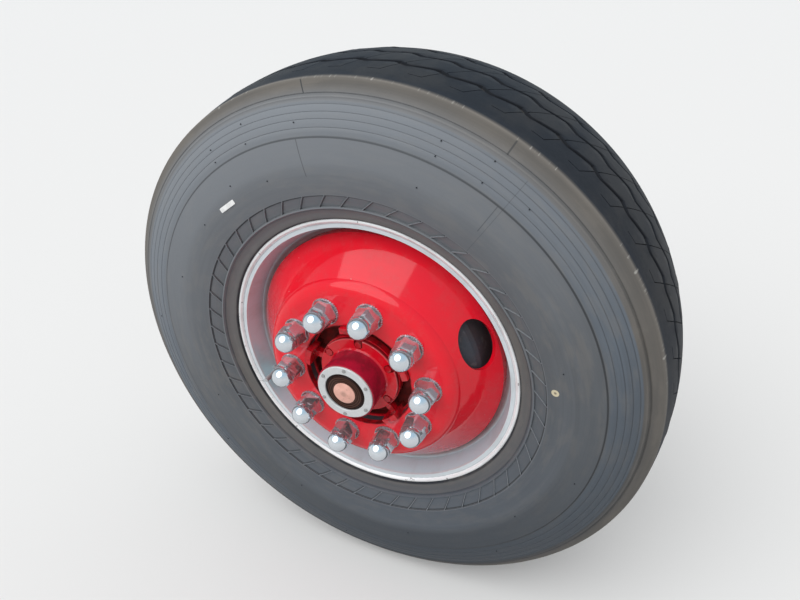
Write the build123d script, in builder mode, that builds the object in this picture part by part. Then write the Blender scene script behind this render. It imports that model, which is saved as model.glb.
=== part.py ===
from build123d import *
import os
from math import cos, radians, sin, tan

# Front wheel end of a fire truck: a ten-stud disc wheel with its tyre, hub and brake drum,
# turning on a steering knuckle that carries the brake's fixed parts.
# Millimetres. The axle runs along Y, inboard is +Y, the front of the vehicle is +X and Z is up.
# The origin is where the kingpin's axis crosses the axle.

# Places along the axle
rim_centre = -62.0  # the rim's middle plane
disc_offset = 168.0  # from the rim's middle plane out to the disc's face
disc_wall = 11.0
drum_flange_wall = 12.0
hub_flange_wall = 20.0
disc_face = rim_centre - disc_offset
drum_face = disc_face + disc_wall
hub_face = drum_face + drum_flange_wall
hub_flange_back = hub_face + hub_flange_wall

# Clearances
running_gap = 6.0  # between the turning wheel and the fixed parts
bearing_gap = 0.05
pilot_gap = 0.2
fit_gap = 0.3

# Rim
bead_diameter = 571.5
rim_width = 228.6
flange_height = 12.75
lip_reach = 10.7  # the lip's curl past the rim's width
rim_wall = 6.5
seat_length = 37.0
seat_angle = 15.0
well_depth = 11.84  # below the bead seats' inner ends
well_start = -62.0  # from the rim's middle plane
well_end = -6.0
ledge_rise = 7.0
ledge_start = 12.0
lip_round = 2.4

# Tyre
tyre_radius = 548.0
shoulder_drop = 16.7  # from the crown to the shoulder's edge
shoulder_half = 129.6
section_half = 161.0
widest_share = 0.566  # of the section's height, from the flange to where the tyre is widest
low_wall_inset = 3.0  # of the wall halfway between the ladder ring and the widest place
step_rise = 8.0  # from the widest place out to the step in the sidewall
step_depth = 1.6
tyre_wall = 15.0
tread_wall = 30.0
crown_inner_drop = 8.0
crown_inner_half = 99.6
ladder_wall = 23.0
groove_depth = 11.0
groove_width = 9.0
groove_places = (-57.0, 0.0, 57.0)  # from the rim's middle plane
bead_ring_rise = 24.1  # from the flange's edge
bead_ring_half = 139.7
ladder_rise = 47.4  # from the flange's edge
ladder_half = 150.6
lip_contact_angle = 50.0  # how far round the lip's curl the tyre sits on it
bead_toe_half = 94.0

# Studs, nuts and their covers
stud_count = 10
stud_circle_diameter = 285.75
stud_angle = 5.2
stud_diameter = 22.0
stud_hole = 26.0
stud_head_radius = 17.0
stud_head_wall = 8.0
stud_reach = 36.0  # past the disc's face
nut_across = 33.0
nut_height = 27.0
nut_flange_radius = 22.5
nut_flange_wall = 5.0
cover_wall = 1.6
cover_flare = 3.4  # of the hexagon's flats at their foot, past the nut's own flats
cover_corner = 1.6  # the rounded corners past the flats, at their foot
cover_taper = 5.8
cover_hex_height = 38.0
cover_ball_radius = 19.3
cover_ball_place = 39.7  # from the disc's face to the ball's middle

# Disc
pilot_diameter = 220.1
disc_crease_room = 41.0  # from the stud circle out to where the face turns into the slope
crease_inner_run = 12.0
crease_outer_run = 14.0
disc_crown_depth = 16.0  # where the crown turns into the slope, in from the face
disc_bend_place = -85.0  # where the slope turns into the lip, from the rim's middle plane
disc_lip_end = -22.0  # from the rim's middle plane
hand_hole_inset = 25.5  # from the slope's outer end
hand_hole_width = 100.0
hand_hole_height = 68.0  # along the slope
hand_hole_count = 2
hand_hole_angle = stud_angle + 180.0 / stud_count

# Hub and its bearings
hub_flange_room = 25.1  # from the stud circle out to the flange's edge
hub_nose_radius = 82.0
hub_nose_reach = 10.0
hub_barrel_radius = 96.0
hub_tail_radius = 84.0
hub_root = 14.0  # the slope between the flange and the barrel
cup_shoulder = 6.0
cap_bolt_hole_depth = 22.0
pad_count = 5
pad_depth = 12.0
pad_width = 34.0
channel_depth = 15.0  # of the ring cast into the hub's face between the nose and the pads
channel_land = 4.0  # from the channel out to the pilot
pad_reach = 8.0  # past the disc's face
web_wall = 12.0
outer_bearing_bore = 66.7
outer_bearing_outside = 122.2
outer_bearing_width = 38.4
inner_bearing_bore = 90.0
inner_bearing_outside = 147.0
inner_bearing_width = 40.0
bearing_shoulder = 7.0

# Hub cap
cap_bolt_circle_diameter = 139.7
cap_bolt_count = 6
cap_bolt_angle = 27.0
cap_bolt_diameter = 8.0
cap_bolt_across = 13.0
cap_bolt_head = 6.0
cap_bolt_length = 24.0  # from its seat
cap_flange_wall = 9.0
cap_flange_inset = 2.0  # of the flange's edge from the hub nose's
cap_flange_chamfer = 1.5
cap_pocket_depth = 5.0  # of the notch that each bolt's head sits in
cap_pocket_radius = 8.5
cap_body_radius = 58.0
cap_bore_radius = 50.0
cap_root = 3.0  # the slope between the flange and the barrel
cap_lip_wall = 6.0  # behind the window's seat
cap_lip_slope = 10.0
cap_offset = 216.0  # from the rim's middle plane out to the cap's face
ring_radius = 55.4
ring_inner_radius = 40.0
ring_wall = 3.4
ring_chamfer = 1.0
screw_circle_diameter = 99.0
screw_count = 6
screw_head_radius = 3.6
screw_head_height = 2.2
screw_head_taper = 15.0
screw_tip_gap = 1.0
screw_shank_radius = 2.0
screw_length = 10.0
window_radius = 45.0
window_wall = 5.0
window_boss_radius = 37.0
window_boss_taper = 2.0
window_rings = (34.0, 30.0, 26.0)  # radii of the grooves round the plug, the widest first
window_ring_width = 1.8
window_ring_depth = 1.0
plug_radius = 21.7
plug_stem_radius = 12.0
plug_crown = 4.0
plug_edge = 1.5
plug_collar = 3.0  # past the stem, behind the window
plug_collar_wall = 4.0

# Brake drum
drum_room = 24.45  # between the drum and the inside of the disc's lip
drum_wall = 12.5
drum_edge = -64.0
drum_face_room = 2.0  # past the hub's flange
drum_stud_gap = 1.0
drum_back_drop = 5.0
drum_slope_room = 5.9  # from the inside of the disc's slope to the drum's corner, along the axle
drum_corner = 10.0
drum_inner_corner = 8.0
drum_band_height = 9.0
drum_band_width = 26.0
drum_band_slope = 8.0

# Valve
valve_angle = 203.0
valve_place = -87.0  # where it passes the rim's wall, from the rim's middle plane
valve_hole_radius = 4.9
valve_inside = 5.0  # its foot's reach inside the tyre
valve_rise = 9.0  # from the wall to its bend
valve_reach = 34.0  # from its bend to its tip
valve_tube_radius = 4.2
valve_nut_radius = 7.5
valve_nut_wall = 4.0
valve_cap_radius = 5.2
valve_cap_length = 12.0
valve_cap_taper = 4.0

# Knuckle
kingpin_lean = 6.25  # the kingpin's top leans inboard
kingpin_diameter = 48.0
bushing_wall = 3.0
ear_radius = 41.0
ear_gap = 104.0  # between the two ears, where the axle's beam sits
ear_height = 56.0
ear_flare = 14.0
ear_sink = 2.0  # of the ears' root into the brake flange
arm_boss_sink = 12.0  # of the tie rod arm's boss into the ear
seal_chamfer = 4.0
seal_root = 8.0
thread_chamfer = 2.0
barrel_neck = 3.0  # the spindle's rise behind the outer bearing
barrel_relief = 2.0
barrel_relief_length = 6.0
barrel_neck_length = 4.0
beam_clearance_radius = 55.0
brake_flange_face = -78.0
brake_flange_wall = 20.0
brake_flange_radius = 124.0
seal_radius = 57.0
seal_length = 14.0
spindle_thread_radius = 30.0
spindle_end = -244.0
spindle_nut_across = 84.0
spindle_nut_wall = 18.0
spindle_washer_radius = 44.0
spindle_washer_wall = 4.0
spider_bolt_count = 8
spider_bolt_inset = 19.0  # from the brake flange's edge
spider_bolt_diameter = 16.0
spider_bolt_across = 24.0
spider_bolt_head = 10.0

# Brake spider, shield and cam
spider_wall = 14.0
spider_bore_radius = 92.0
spider_radius = 130.0
cam_angle = 135.0
cam_inset = 49.6  # from the drum's bore in to the cam's axis
cam_boss_radius = 36.0
anchor_angle = cam_angle + 180.0
anchor_spread = 22.0
anchor_inset = 45.6
anchor_boss_radius = 24.0
anchor_pin_radius = 15.0
anchor_pin_length = 70.0
anchor_pin_head = 2.0  # inboard of the spider
shield_wall = 2.0
shield_lip = 9.0
cam_shaft_radius = 16.0
cam_tube_radius = 24.0
cam_tube_end = 138.0
cam_head_radius = 28.0
cam_head_length = 62.0
cam_head_share = 0.7  # its short width to its long one
cam_shaft_end = 196.0

# Slack adjuster and brake chamber
slack_middle = 172.0
slack_wall = 26.0
slack_arm = 152.0
slack_boss_radius = 34.0
slack_lug_radius = 15.0
clevis_pin_radius = 6.3
clevis_width = 44.0
clevis_length = 42.0
clevis_wall = 7.0
clevis_room = 5.0  # between the slack adjuster's lug and the clevis's back
clevis_pin_end = 4.0  # past the clevis, each end
push_rod_radius = 8.0
push_rod_length = 96.0
push_rod_sink = 6.0  # into the chamber's face
port_radius = 7.0
port_depth = 12.0
port_offset = 18.0
chamber_radius = 80.0
chamber_depth = 64.0  # each half, from its flange to its end
chamber_flange_radius = 88.0
chamber_flange_half = 6.0
chamber_flange_slope = 8.0
chamber_corner = 14.0
chamber_dish = 26.0  # from the can's wall to its end
port_land_radius = 44.0
clamp_width = 22.0
clamp_wall = 4.0
bracket_wall = 12.0
bracket_boss_radius = 36.0
bracket_web_share = 0.8  # of its boss's radius, where the web starts
bracket_web_drop = 10.0
bracket_foot = 40.0  # below the chamber's axis
bracket_head = 14.0  # past the chamber's upper stud
bracket_plate_reach = 50.0  # past the chamber's axis, inboard
push_rod_gap = 6.0
chamber_stud_length = 18.0
chamber_nut_radius = 13.6
chamber_nut_height = 12.0
chamber_bolt_spread = 120.0
chamber_bolt_radius = 8.0

# Tie rod arm
arm_root = (-74.0, -29.0, -80.0)
arm_knee = (-134.0, -24.0, -86.0)
arm_eye = (-196.0, 34.0, -92.0)
arm_radius = 17.0
arm_bend = 40.0
arm_collar_wall = 12.0
arm_boss_radius = 26.0
arm_shank_radius = 12.0
arm_shank_length = 40.0
arm_eye_radius = 27.0
arm_eye_height = 30.0
arm_taper_top = 13.5
arm_taper_bottom = 10.0

# Values worked out from the sizes above
bead_radius = bead_diameter / 2
rim_half = rim_width / 2
flange_radius = bead_radius + flange_height
seat_drop = seat_length * tan(radians(seat_angle))
well_radius = bead_radius - seat_drop - well_depth
ledge_radius = well_radius + ledge_rise
pilot_radius = pilot_diameter / 2
stud_circle_radius = stud_circle_diameter / 2
cap_bolt_circle_radius = cap_bolt_circle_diameter / 2
screw_circle_radius = screw_circle_diameter / 2
cap_face = rim_centre - cap_offset
disc_crease_radius = stud_circle_radius + disc_crease_room
disc_lip_radius = well_radius - rim_wall
drum_outer_radius = disc_lip_radius - disc_wall - drum_room
drum_bore_radius = drum_outer_radius - drum_wall
hub_flange_radius = stud_circle_radius + hub_flange_room
drum_face_radius = hub_flange_radius + drum_face_room
stud_radius = stud_diameter / 2
hub_nose = hub_face - hub_nose_reach
outer_bearing_face = hub_nose + bearing_shoulder
outer_bearing_back = outer_bearing_face + outer_bearing_width
inner_bearing_back = brake_flange_face - seal_length
inner_bearing_face = inner_bearing_back - inner_bearing_width
hub_tail = brake_flange_face - spider_wall + running_gap
kingpin_radius = kingpin_diameter / 2
ear_bore_radius = kingpin_radius + bushing_wall
brake_flange_back = brake_flange_face + brake_flange_wall
spider_bolt_circle_radius = brake_flange_radius - spider_bolt_inset
spider_bolt_angle = 180 / spider_bolt_count
cam_circle_radius = drum_bore_radius - cam_inset
anchor_circle_radius = drum_bore_radius - anchor_inset
shield_radius = drum_bore_radius - running_gap
shoulder_radius = tyre_radius - shoulder_drop
section_radius = flange_radius + widest_share * (tyre_radius - flange_radius)
bead_ring_radius = flange_radius + bead_ring_rise
ladder_radius = flange_radius + ladder_rise
ear_reach = ear_gap / 2 + ear_height
ear_root = brake_flange_back - ear_reach * tan(radians(kingpin_lean)) - ear_sink
cam_x = cam_circle_radius * cos(radians(cam_angle))
cam_z = cam_circle_radius * sin(radians(cam_angle))
clevis_z = cam_z + slack_arm
chamber_face_x = cam_x + push_rod_length
valve_section = Plane(
    origin=(0, 0, 0),
    x_dir=(cos(radians(valve_angle)), 0, sin(radians(valve_angle))),
    z_dir=(-sin(radians(valve_angle)), 0, cos(radians(valve_angle))),
)
valve_wall_radius = bead_radius - (rim_half + valve_place) * tan(radians(seat_angle))
valve_lean = radians(seat_angle)
valve_root = (
    valve_wall_radius + valve_inside * cos(valve_lean),
    rim_centre + valve_place + valve_inside * sin(valve_lean),
)
valve_run = valve_inside + rim_wall + valve_rise
valve_bend = (valve_root[0] - valve_run * cos(valve_lean), valve_root[1] - valve_run * sin(valve_lean))
valve_tip = (valve_bend[0], valve_bend[1] - valve_reach)
valve_hole_plane = Plane(
    origin=valve_section.from_local_coords((valve_root[0], valve_root[1], 0)),
    z_dir=valve_section.from_local_coords((-cos(valve_lean), -sin(valve_lean), 0)),
)
kingpin_plane = Plane(
    origin=(0, 0, 0),
    x_dir=(1, 0, 0),
    z_dir=(0, sin(radians(kingpin_lean)), cos(radians(kingpin_lean))),
)

os.makedirs("parts", exist_ok=True)


def across(y):
    """The plane square to the axle at y, facing outboard, with X to the right and Z up."""
    return Plane.XZ.offset(-y)


def rim_point(radius, from_centre):
    """A point of a turned outline, its place along the axle measured from the rim's middle."""
    return (radius, rim_centre + from_centre)


# Rim: the tyre side of its section, then the wall inside it
curl_start = flange_radius - lip_reach
with BuildPart() as wheel_rim:
    with BuildSketch(Plane.XY):
        with BuildLine():
            CenterArc(rim_point(curl_start, -rim_half - lip_reach), lip_reach, 0, 90)
            Polyline(
                rim_point(curl_start, -rim_half),
                rim_point(bead_radius, -rim_half),
                rim_point(bead_radius - seat_drop, -rim_half + seat_length),
                rim_point(well_radius, well_start),
                rim_point(well_radius, well_end),
                rim_point(ledge_radius, ledge_start),
                rim_point(bead_radius - seat_drop, rim_half - seat_length),
                rim_point(bead_radius, rim_half),
                rim_point(curl_start, rim_half),
            )
            CenterArc(rim_point(curl_start, rim_half + lip_reach), lip_reach, -90, 90)
            offset(amount=rim_wall, side=Side.LEFT, kind=Kind.INTERSECTION)
        make_face()
    revolve(axis=Axis.Y)
    fillet(wheel_rim.edges().group_by(Axis.Y)[0] + wheel_rim.edges().group_by(Axis.Y)[-1], lip_round)
    with BuildSketch(valve_hole_plane):
        Circle(valve_hole_radius)
    extrude(amount=valve_inside + 2 * rim_wall, mode=Mode.SUBTRACT)
wheel_rim.part.label = "wheel_rim"
export_step(wheel_rim.part, "parts/wheel_rim.step")

# Disc: the bulged plate from the pilot bore to the lip inside the rim's well
slope_top = (disc_crease_radius + crease_outer_run, disc_face + disc_crown_depth)
slope_end = (disc_lip_radius, rim_centre + disc_bend_place)
slope_length = ((slope_end[0] - slope_top[0]) ** 2 + (slope_end[1] - slope_top[1]) ** 2) ** 0.5
slope_out = (slope_end[0] - slope_top[0]) / slope_length
slope_in = (slope_end[1] - slope_top[1]) / slope_length
hand_hole_radius = disc_lip_radius - hand_hole_inset
hand_hole_place = slope_end[1] - hand_hole_inset * slope_in / slope_out
with BuildPart() as wheel_disc:
    with BuildSketch(Plane.XY):
        with BuildLine():
            face_line = Line((pilot_radius, disc_face), (disc_crease_radius - crease_inner_run, disc_face))
            TangentArc(face_line @ 1, slope_top, tangent=face_line % 1)
            Line(slope_top, slope_end)
            Line(slope_end, rim_point(disc_lip_radius, disc_lip_end))
            offset(amount=disc_wall, side=Side.LEFT, kind=Kind.INTERSECTION)
        make_face()
    revolve(axis=Axis.Y)
    with BuildSketch(across(disc_face - 1)):
        with PolarLocations(stud_circle_radius, stud_count, start_angle=stud_angle):
            Circle(stud_hole / 2)
    extrude(amount=-2 * disc_wall, mode=Mode.SUBTRACT)
    for index in range(hand_hole_count):
        angle = radians(hand_hole_angle + index * 360 / hand_hole_count)
        hole_plane = Plane(
            origin=(hand_hole_radius * cos(angle), hand_hole_place, hand_hole_radius * sin(angle)),
            x_dir=(-sin(angle), 0, cos(angle)),
            z_dir=(slope_in * cos(angle), -slope_out, slope_in * sin(angle)),
        )
        with BuildSketch(hole_plane.offset(-2 * disc_wall)):
            Ellipse(hand_hole_width / 2, hand_hole_height / 2)
        extrude(amount=4 * disc_wall, mode=Mode.SUBTRACT)
wheel_disc.part.label = "wheel_disc"
export_step(wheel_disc.part, "parts/wheel_disc.step")

# Tyre: one half of its section is drawn and mirrored about the rim's middle plane
inner_crown = tyre_radius - tread_wall
step_radius = section_radius + step_rise
with BuildPart() as tyre:
    with BuildSketch(Plane.XY):
        with BuildLine():
            heel = rim_point(bead_radius, -rim_half)
            toe = rim_point(bead_radius - (rim_half - bead_toe_half) * tan(radians(seat_angle)), -bead_toe_half)
            Polyline(toe, heel, rim_point(curl_start, -rim_half))
            curl = CenterArc(rim_point(curl_start, -rim_half - lip_reach), lip_reach, 90, -lip_contact_angle)
            Polyline(
                curl @ 1,
                rim_point(bead_ring_radius, -bead_ring_half),
                rim_point(ladder_radius, -ladder_half),
            )
            ThreePointArc(
                rim_point(ladder_radius, -ladder_half),
                rim_point((ladder_radius + section_radius) / 2, -section_half + low_wall_inset),
                rim_point(section_radius, -section_half),
            )
            Polyline(
                rim_point(section_radius, -section_half),
                rim_point(step_radius, -section_half),
                rim_point(step_radius + step_depth, -section_half + step_depth),
            )
            TangentArc(
                rim_point(step_radius + step_depth, -section_half + step_depth),
                rim_point(shoulder_radius, -shoulder_half),
                tangent=(1, 0),
            )
            ThreePointArc(
                rim_point(shoulder_radius, -shoulder_half),
                rim_point(tyre_radius - shoulder_drop / 4, -shoulder_half / 2),
                rim_point(tyre_radius, 0),
            )
            Polyline(
                rim_point(tyre_radius, 0),
                rim_point(inner_crown, 0),
                rim_point(inner_crown - crown_inner_drop, -crown_inner_half),
            )
            inner_side = ThreePointArc(
                rim_point(inner_crown - crown_inner_drop, -crown_inner_half),
                rim_point(section_radius, -section_half + tyre_wall),
                rim_point(ladder_radius, -ladder_half + ladder_wall),
            )
            Line(inner_side @ 1, toe)
        make_face()
        mirror(about=Plane.XZ.offset(-rim_centre))
    revolve(axis=Axis.Y)
    for place in groove_places:
        with BuildSketch(Plane.XY):
            with Locations(rim_point(tyre_radius, place)):
                Rectangle(2 * groove_depth, groove_width)
        revolve(axis=Axis.Y, mode=Mode.SUBTRACT)
tyre.part.label = "tyre"
export_step(tyre.part, "parts/tyre.step")

# Hub: barrel, flange, bearing seats, pilot pads and the webs that carry them
outer_cup_radius = outer_bearing_outside / 2
inner_cup_radius = inner_bearing_outside / 2
pad_outer_radius = pilot_radius - pilot_gap
with BuildPart() as hub:
    with BuildSketch(Plane.XY):
        with BuildLine():
            Polyline(
                (outer_cup_radius, hub_nose),
                (hub_nose_radius, hub_nose),
                (hub_nose_radius, hub_face + channel_depth),
                (pilot_radius - channel_land, hub_face + channel_depth),
                (pilot_radius - channel_land, hub_face),
                (hub_flange_radius, hub_face),
                (hub_flange_radius, hub_flange_back),
                (hub_barrel_radius + hub_root, hub_flange_back),
                (hub_barrel_radius, hub_flange_back + hub_root),
                (hub_tail_radius, inner_bearing_face - cup_shoulder),
                (hub_tail_radius, hub_tail),
                (inner_cup_radius, hub_tail),
                (inner_cup_radius, inner_bearing_face),
                (inner_cup_radius - cup_shoulder, inner_bearing_face),
                (inner_cup_radius - cup_shoulder, inner_bearing_face - cup_shoulder),
                (outer_cup_radius - cup_shoulder, outer_bearing_back),
                (outer_cup_radius, outer_bearing_back),
                close=True,
            )
        make_face()
    revolve(axis=Axis.Y)
    with BuildSketch(across(hub_face + channel_depth)):
        Circle(pad_outer_radius)
        Circle(pad_outer_radius - pad_depth, mode=Mode.SUBTRACT)
        with PolarLocations(pad_outer_radius, pad_count, start_angle=hand_hole_angle):
            Rectangle(3 * pad_depth, pad_width, mode=Mode.INTERSECT)
    extrude(amount=hub_face + channel_depth - disc_face + pad_reach)
    with BuildSketch(across(hub_face + channel_depth)):
        with PolarLocations(hub_nose_radius, pad_count, start_angle=hand_hole_angle):
            Rectangle(2 * (pad_outer_radius - pad_depth / 2 - hub_nose_radius), web_wall)
        Circle(hub_nose_radius - web_wall, mode=Mode.SUBTRACT)
    extrude(amount=channel_depth + hub_nose_reach)
    with BuildSketch(across(hub_face)):
        with PolarLocations(stud_circle_radius, stud_count, start_angle=stud_angle):
            Circle(stud_radius)
    extrude(amount=-hub_flange_wall, mode=Mode.SUBTRACT)
    with BuildSketch(across(hub_nose)):
        with PolarLocations(cap_bolt_circle_radius, cap_bolt_count, start_angle=cap_bolt_angle):
            Circle(cap_bolt_diameter / 2)
    extrude(amount=-cap_bolt_hole_depth, mode=Mode.SUBTRACT)
hub.part.label = "hub"
export_step(hub.part, "parts/hub.step")

# Wheel studs, pressed into the hub's flange from behind
with BuildPart() as wheel_studs:
    with BuildSketch(across(hub_flange_back)):
        with PolarLocations(stud_circle_radius, stud_count, start_angle=stud_angle):
            Circle(stud_radius)
    extrude(amount=hub_flange_back - disc_face + stud_reach)
    with BuildSketch(across(hub_flange_back)):
        with PolarLocations(stud_circle_radius, stud_count, start_angle=stud_angle):
            Circle(stud_head_radius)
    extrude(amount=-stud_head_wall)
wheel_studs.part.label = "wheel_studs"
export_step(wheel_studs.part, "parts/wheel_studs.step")

# Wheel nuts on the disc's face
nut_corner = nut_across / 2 / cos(radians(30))
with BuildPart() as wheel_nuts:
    with BuildSketch(across(disc_face)):
        with PolarLocations(stud_circle_radius, stud_count, start_angle=stud_angle):
            Circle(nut_flange_radius)
            Circle(stud_radius, mode=Mode.SUBTRACT)
    extrude(amount=nut_flange_wall)
    with BuildSketch(across(disc_face - nut_flange_wall)):
        with PolarLocations(stud_circle_radius, stud_count, start_angle=stud_angle):
            RegularPolygon(nut_corner, 6)
            Circle(stud_radius, mode=Mode.SUBTRACT)
    extrude(amount=nut_height - nut_flange_wall)
wheel_nuts.part.label = "wheel_nuts"
export_step(wheel_nuts.part, "parts/wheel_nuts.step")

# One nut cover about its own axis: a skirt over the nut's flange, a tapered hexagon and a ball end
cover_flat = nut_across / 2 + fit_gap + cover_wall + cover_flare
cover_hex_corner = cover_flat / cos(radians(30))
cover_skirt_radius = nut_flange_radius + fit_gap + cover_wall
with BuildPart() as nut_cover:
    with BuildSketch(Plane.XY):
        Circle(cover_skirt_radius)
    extrude(amount=nut_flange_wall + fit_gap + cover_wall)
    with BuildSketch(Plane.XY):
        RegularPolygon(cover_hex_corner, 6)
        Circle(cover_flat + cover_corner, mode=Mode.INTERSECT)
    extrude(amount=cover_hex_height, taper=cover_taper)
    with Locations((0, 0, cover_ball_place)):
        Sphere(cover_ball_radius)
    with BuildSketch(Plane.XY):
        Circle(nut_flange_radius + fit_gap)
    extrude(amount=nut_flange_wall + fit_gap, mode=Mode.SUBTRACT)
    with BuildSketch(Plane.XY):
        RegularPolygon(nut_corner + fit_gap, 6)
    extrude(amount=nut_height + fit_gap, mode=Mode.SUBTRACT)
    with BuildSketch(Plane.XY):
        Circle(stud_radius + fit_gap)
    extrude(amount=stud_reach + fit_gap, mode=Mode.SUBTRACT)
with BuildPart() as nut_covers:
    with Locations(across(disc_face)):
        with PolarLocations(stud_circle_radius, stud_count, start_angle=stud_angle):
            add(nut_cover.part)
nut_covers.part.label = "nut_covers"
export_step(nut_covers.part, "parts/nut_covers.step")

# Hub cap: a flange on the hub's nose, notched round its bolts, and a barrel out to the sight window
cap_end = cap_face
cap_flange_radius = hub_nose_radius - cap_flange_inset
cap_bolt_seat = hub_nose - cap_flange_wall + cap_pocket_depth
cap_pocket_middle = (cap_bolt_circle_radius + hub_nose_radius) / 2
window_seat = cap_end + window_wall
with BuildPart() as hub_cap:
    with BuildSketch(Plane.XY):
        with BuildLine():
            Polyline(
                (cap_bore_radius, hub_nose),
                (cap_flange_radius, hub_nose),
                (cap_flange_radius, hub_nose - cap_flange_wall + cap_flange_chamfer),
                (cap_flange_radius - cap_flange_chamfer, hub_nose - cap_flange_wall),
                (cap_body_radius + cap_root, hub_nose - cap_flange_wall),
                (cap_body_radius, hub_nose - cap_flange_wall - cap_root),
                (cap_body_radius, cap_end),
                (window_radius + fit_gap, cap_end),
                (window_radius + fit_gap, window_seat),
                (ring_inner_radius, window_seat),
                (ring_inner_radius, window_seat + cap_lip_wall),
                (cap_bore_radius, window_seat + cap_lip_wall + cap_lip_slope),
                close=True,
            )
        make_face()
    revolve(axis=Axis.Y)
    with BuildSketch(across(hub_nose)):
        with PolarLocations(cap_bolt_circle_radius, cap_bolt_count, start_angle=cap_bolt_angle):
            Circle(cap_bolt_diameter / 2)
    extrude(amount=cap_flange_wall, mode=Mode.SUBTRACT)
    with BuildSketch(across(cap_bolt_seat)):
        with PolarLocations(cap_bolt_circle_radius, cap_bolt_count, start_angle=cap_bolt_angle):
            Circle(cap_pocket_radius)
        with PolarLocations(cap_pocket_middle, cap_bolt_count, start_angle=cap_bolt_angle):
            Rectangle(hub_nose_radius - cap_bolt_circle_radius, 2 * cap_pocket_radius)
    extrude(amount=cap_pocket_depth, mode=Mode.SUBTRACT)
    with BuildSketch(across(cap_end)):
        with PolarLocations(screw_circle_radius, screw_count, start_angle=cap_bolt_angle):
            Circle(screw_shank_radius)
    extrude(amount=-screw_length, mode=Mode.SUBTRACT)
hub_cap.part.label = "hub_cap"
export_step(hub_cap.part, "parts/hub_cap.step")

# Hub cap bolts
cap_bolt_corner = cap_bolt_across / 2 / cos(radians(30))
with BuildPart() as hub_cap_bolts:
    with BuildSketch(across(cap_bolt_seat)):
        with PolarLocations(cap_bolt_circle_radius, cap_bolt_count, start_angle=cap_bolt_angle):
            RegularPolygon(cap_bolt_corner, 6)
    extrude(amount=cap_bolt_head)
    with BuildSketch(across(cap_bolt_seat)):
        with PolarLocations(cap_bolt_circle_radius, cap_bolt_count, start_angle=cap_bolt_angle):
            Circle(cap_bolt_diameter / 2)
    extrude(amount=-cap_bolt_length)
hub_cap_bolts.part.label = "hub_cap_bolts"
export_step(hub_cap_bolts.part, "parts/hub_cap_bolts.step")

# Sight window, stepped up to the ring's face round its plug
plug_seat = cap_end - ring_wall
with BuildPart() as sight_window:
    with BuildSketch(Plane.XY):
        with BuildLine():
            Polyline(
                (plug_stem_radius, window_seat),
                (window_radius, window_seat),
                (window_radius, cap_end),
                (window_boss_radius, cap_end),
                (window_boss_radius - window_boss_taper, plug_seat),
                (plug_stem_radius, plug_seat),
                close=True,
            )
        make_face()
    revolve(axis=Axis.Y)
    with BuildSketch(across(plug_seat)):
        for ring in window_rings:
            Circle(ring + window_ring_width / 2)
            Circle(ring - window_ring_width / 2, mode=Mode.SUBTRACT)
    extrude(amount=-window_ring_depth, mode=Mode.SUBTRACT)
sight_window.part.label = "sight_window"
export_step(sight_window.part, "parts/sight_window.step")

# Ring that clamps the window, and its screws
with BuildPart() as window_ring:
    with BuildSketch(across(cap_end)):
        Circle(ring_radius)
        Circle(ring_inner_radius, mode=Mode.SUBTRACT)
        with PolarLocations(screw_circle_radius, screw_count, start_angle=cap_bolt_angle):
            Circle(screw_shank_radius, mode=Mode.SUBTRACT)
    extrude(amount=ring_wall)
    chamfer(window_ring.faces().sort_by(Axis.Y)[0].edges().sort_by(SortBy.LENGTH)[-2:], ring_chamfer)
window_ring.part.label = "window_ring"
export_step(window_ring.part, "parts/window_ring.step")

with BuildPart() as ring_screws:
    with BuildSketch(across(plug_seat)):
        with PolarLocations(screw_circle_radius, screw_count, start_angle=cap_bolt_angle):
            Circle(screw_head_radius)
    extrude(amount=screw_head_height, taper=screw_head_taper)
    with BuildSketch(across(plug_seat)):
        with PolarLocations(screw_circle_radius, screw_count, start_angle=cap_bolt_angle):
            Circle(screw_shank_radius)
    extrude(amount=-ring_wall - screw_length + screw_tip_gap)
ring_screws.part.label = "ring_screws"
export_step(ring_screws.part, "parts/ring_screws.step")

# Vent plug pushed through the middle of the window
with BuildPart() as vent_plug:
    with BuildSketch(Plane.XY):
        with BuildLine():
            Polyline(
                (0, plug_seat - plug_crown),
                (0, window_seat + plug_collar_wall),
                (plug_stem_radius + plug_collar, window_seat + plug_collar_wall),
                (plug_stem_radius + plug_collar, window_seat),
                (plug_stem_radius, window_seat),
                (plug_stem_radius, plug_seat),
                (plug_radius, plug_seat),
                (plug_radius, plug_seat - plug_edge),
            )
            TangentArc((0, plug_seat - plug_crown), (plug_radius, plug_seat - plug_edge), tangent=(1, 0))
        make_face()
    revolve(axis=Axis.Y)
vent_plug.part.label = "vent_plug"
export_step(vent_plug.part, "parts/vent_plug.step")

# Brake drum
drum_back_radius = drum_outer_radius - drum_back_drop
drum_band_radius = drum_outer_radius + drum_band_height
drum_web_back = drum_face + drum_flange_wall
disc_slope_place = slope_top[1] + (drum_back_radius - slope_top[0]) * slope_in / slope_out
drum_slope = disc_slope_place + disc_wall / slope_out + drum_slope_room - drum_face
with BuildPart() as brake_drum:
    with BuildSketch(Plane.XY):
        with BuildLine():
            Polyline(
                (pilot_radius, drum_face),
                (drum_face_radius, drum_face),
                (drum_back_radius, drum_face + drum_slope),
                (drum_outer_radius, drum_face + drum_slope + drum_corner),
                (drum_outer_radius, drum_edge - drum_band_width - drum_band_slope),
                (drum_band_radius, drum_edge - drum_band_width),
                (drum_band_radius, drum_edge),
                (drum_bore_radius, drum_edge),
                (drum_bore_radius, drum_web_back + drum_slope + drum_inner_corner),
                (drum_face_radius, drum_web_back),
                (pilot_radius, drum_web_back),
                close=True,
            )
        make_face()
    revolve(axis=Axis.Y)
    with BuildSketch(across(drum_face)):
        with PolarLocations(stud_circle_radius, stud_count, start_angle=stud_angle):
            Circle(stud_radius + drum_stud_gap)
    extrude(amount=-drum_flange_wall, mode=Mode.SUBTRACT)
brake_drum.part.label = "brake_drum"
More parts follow.
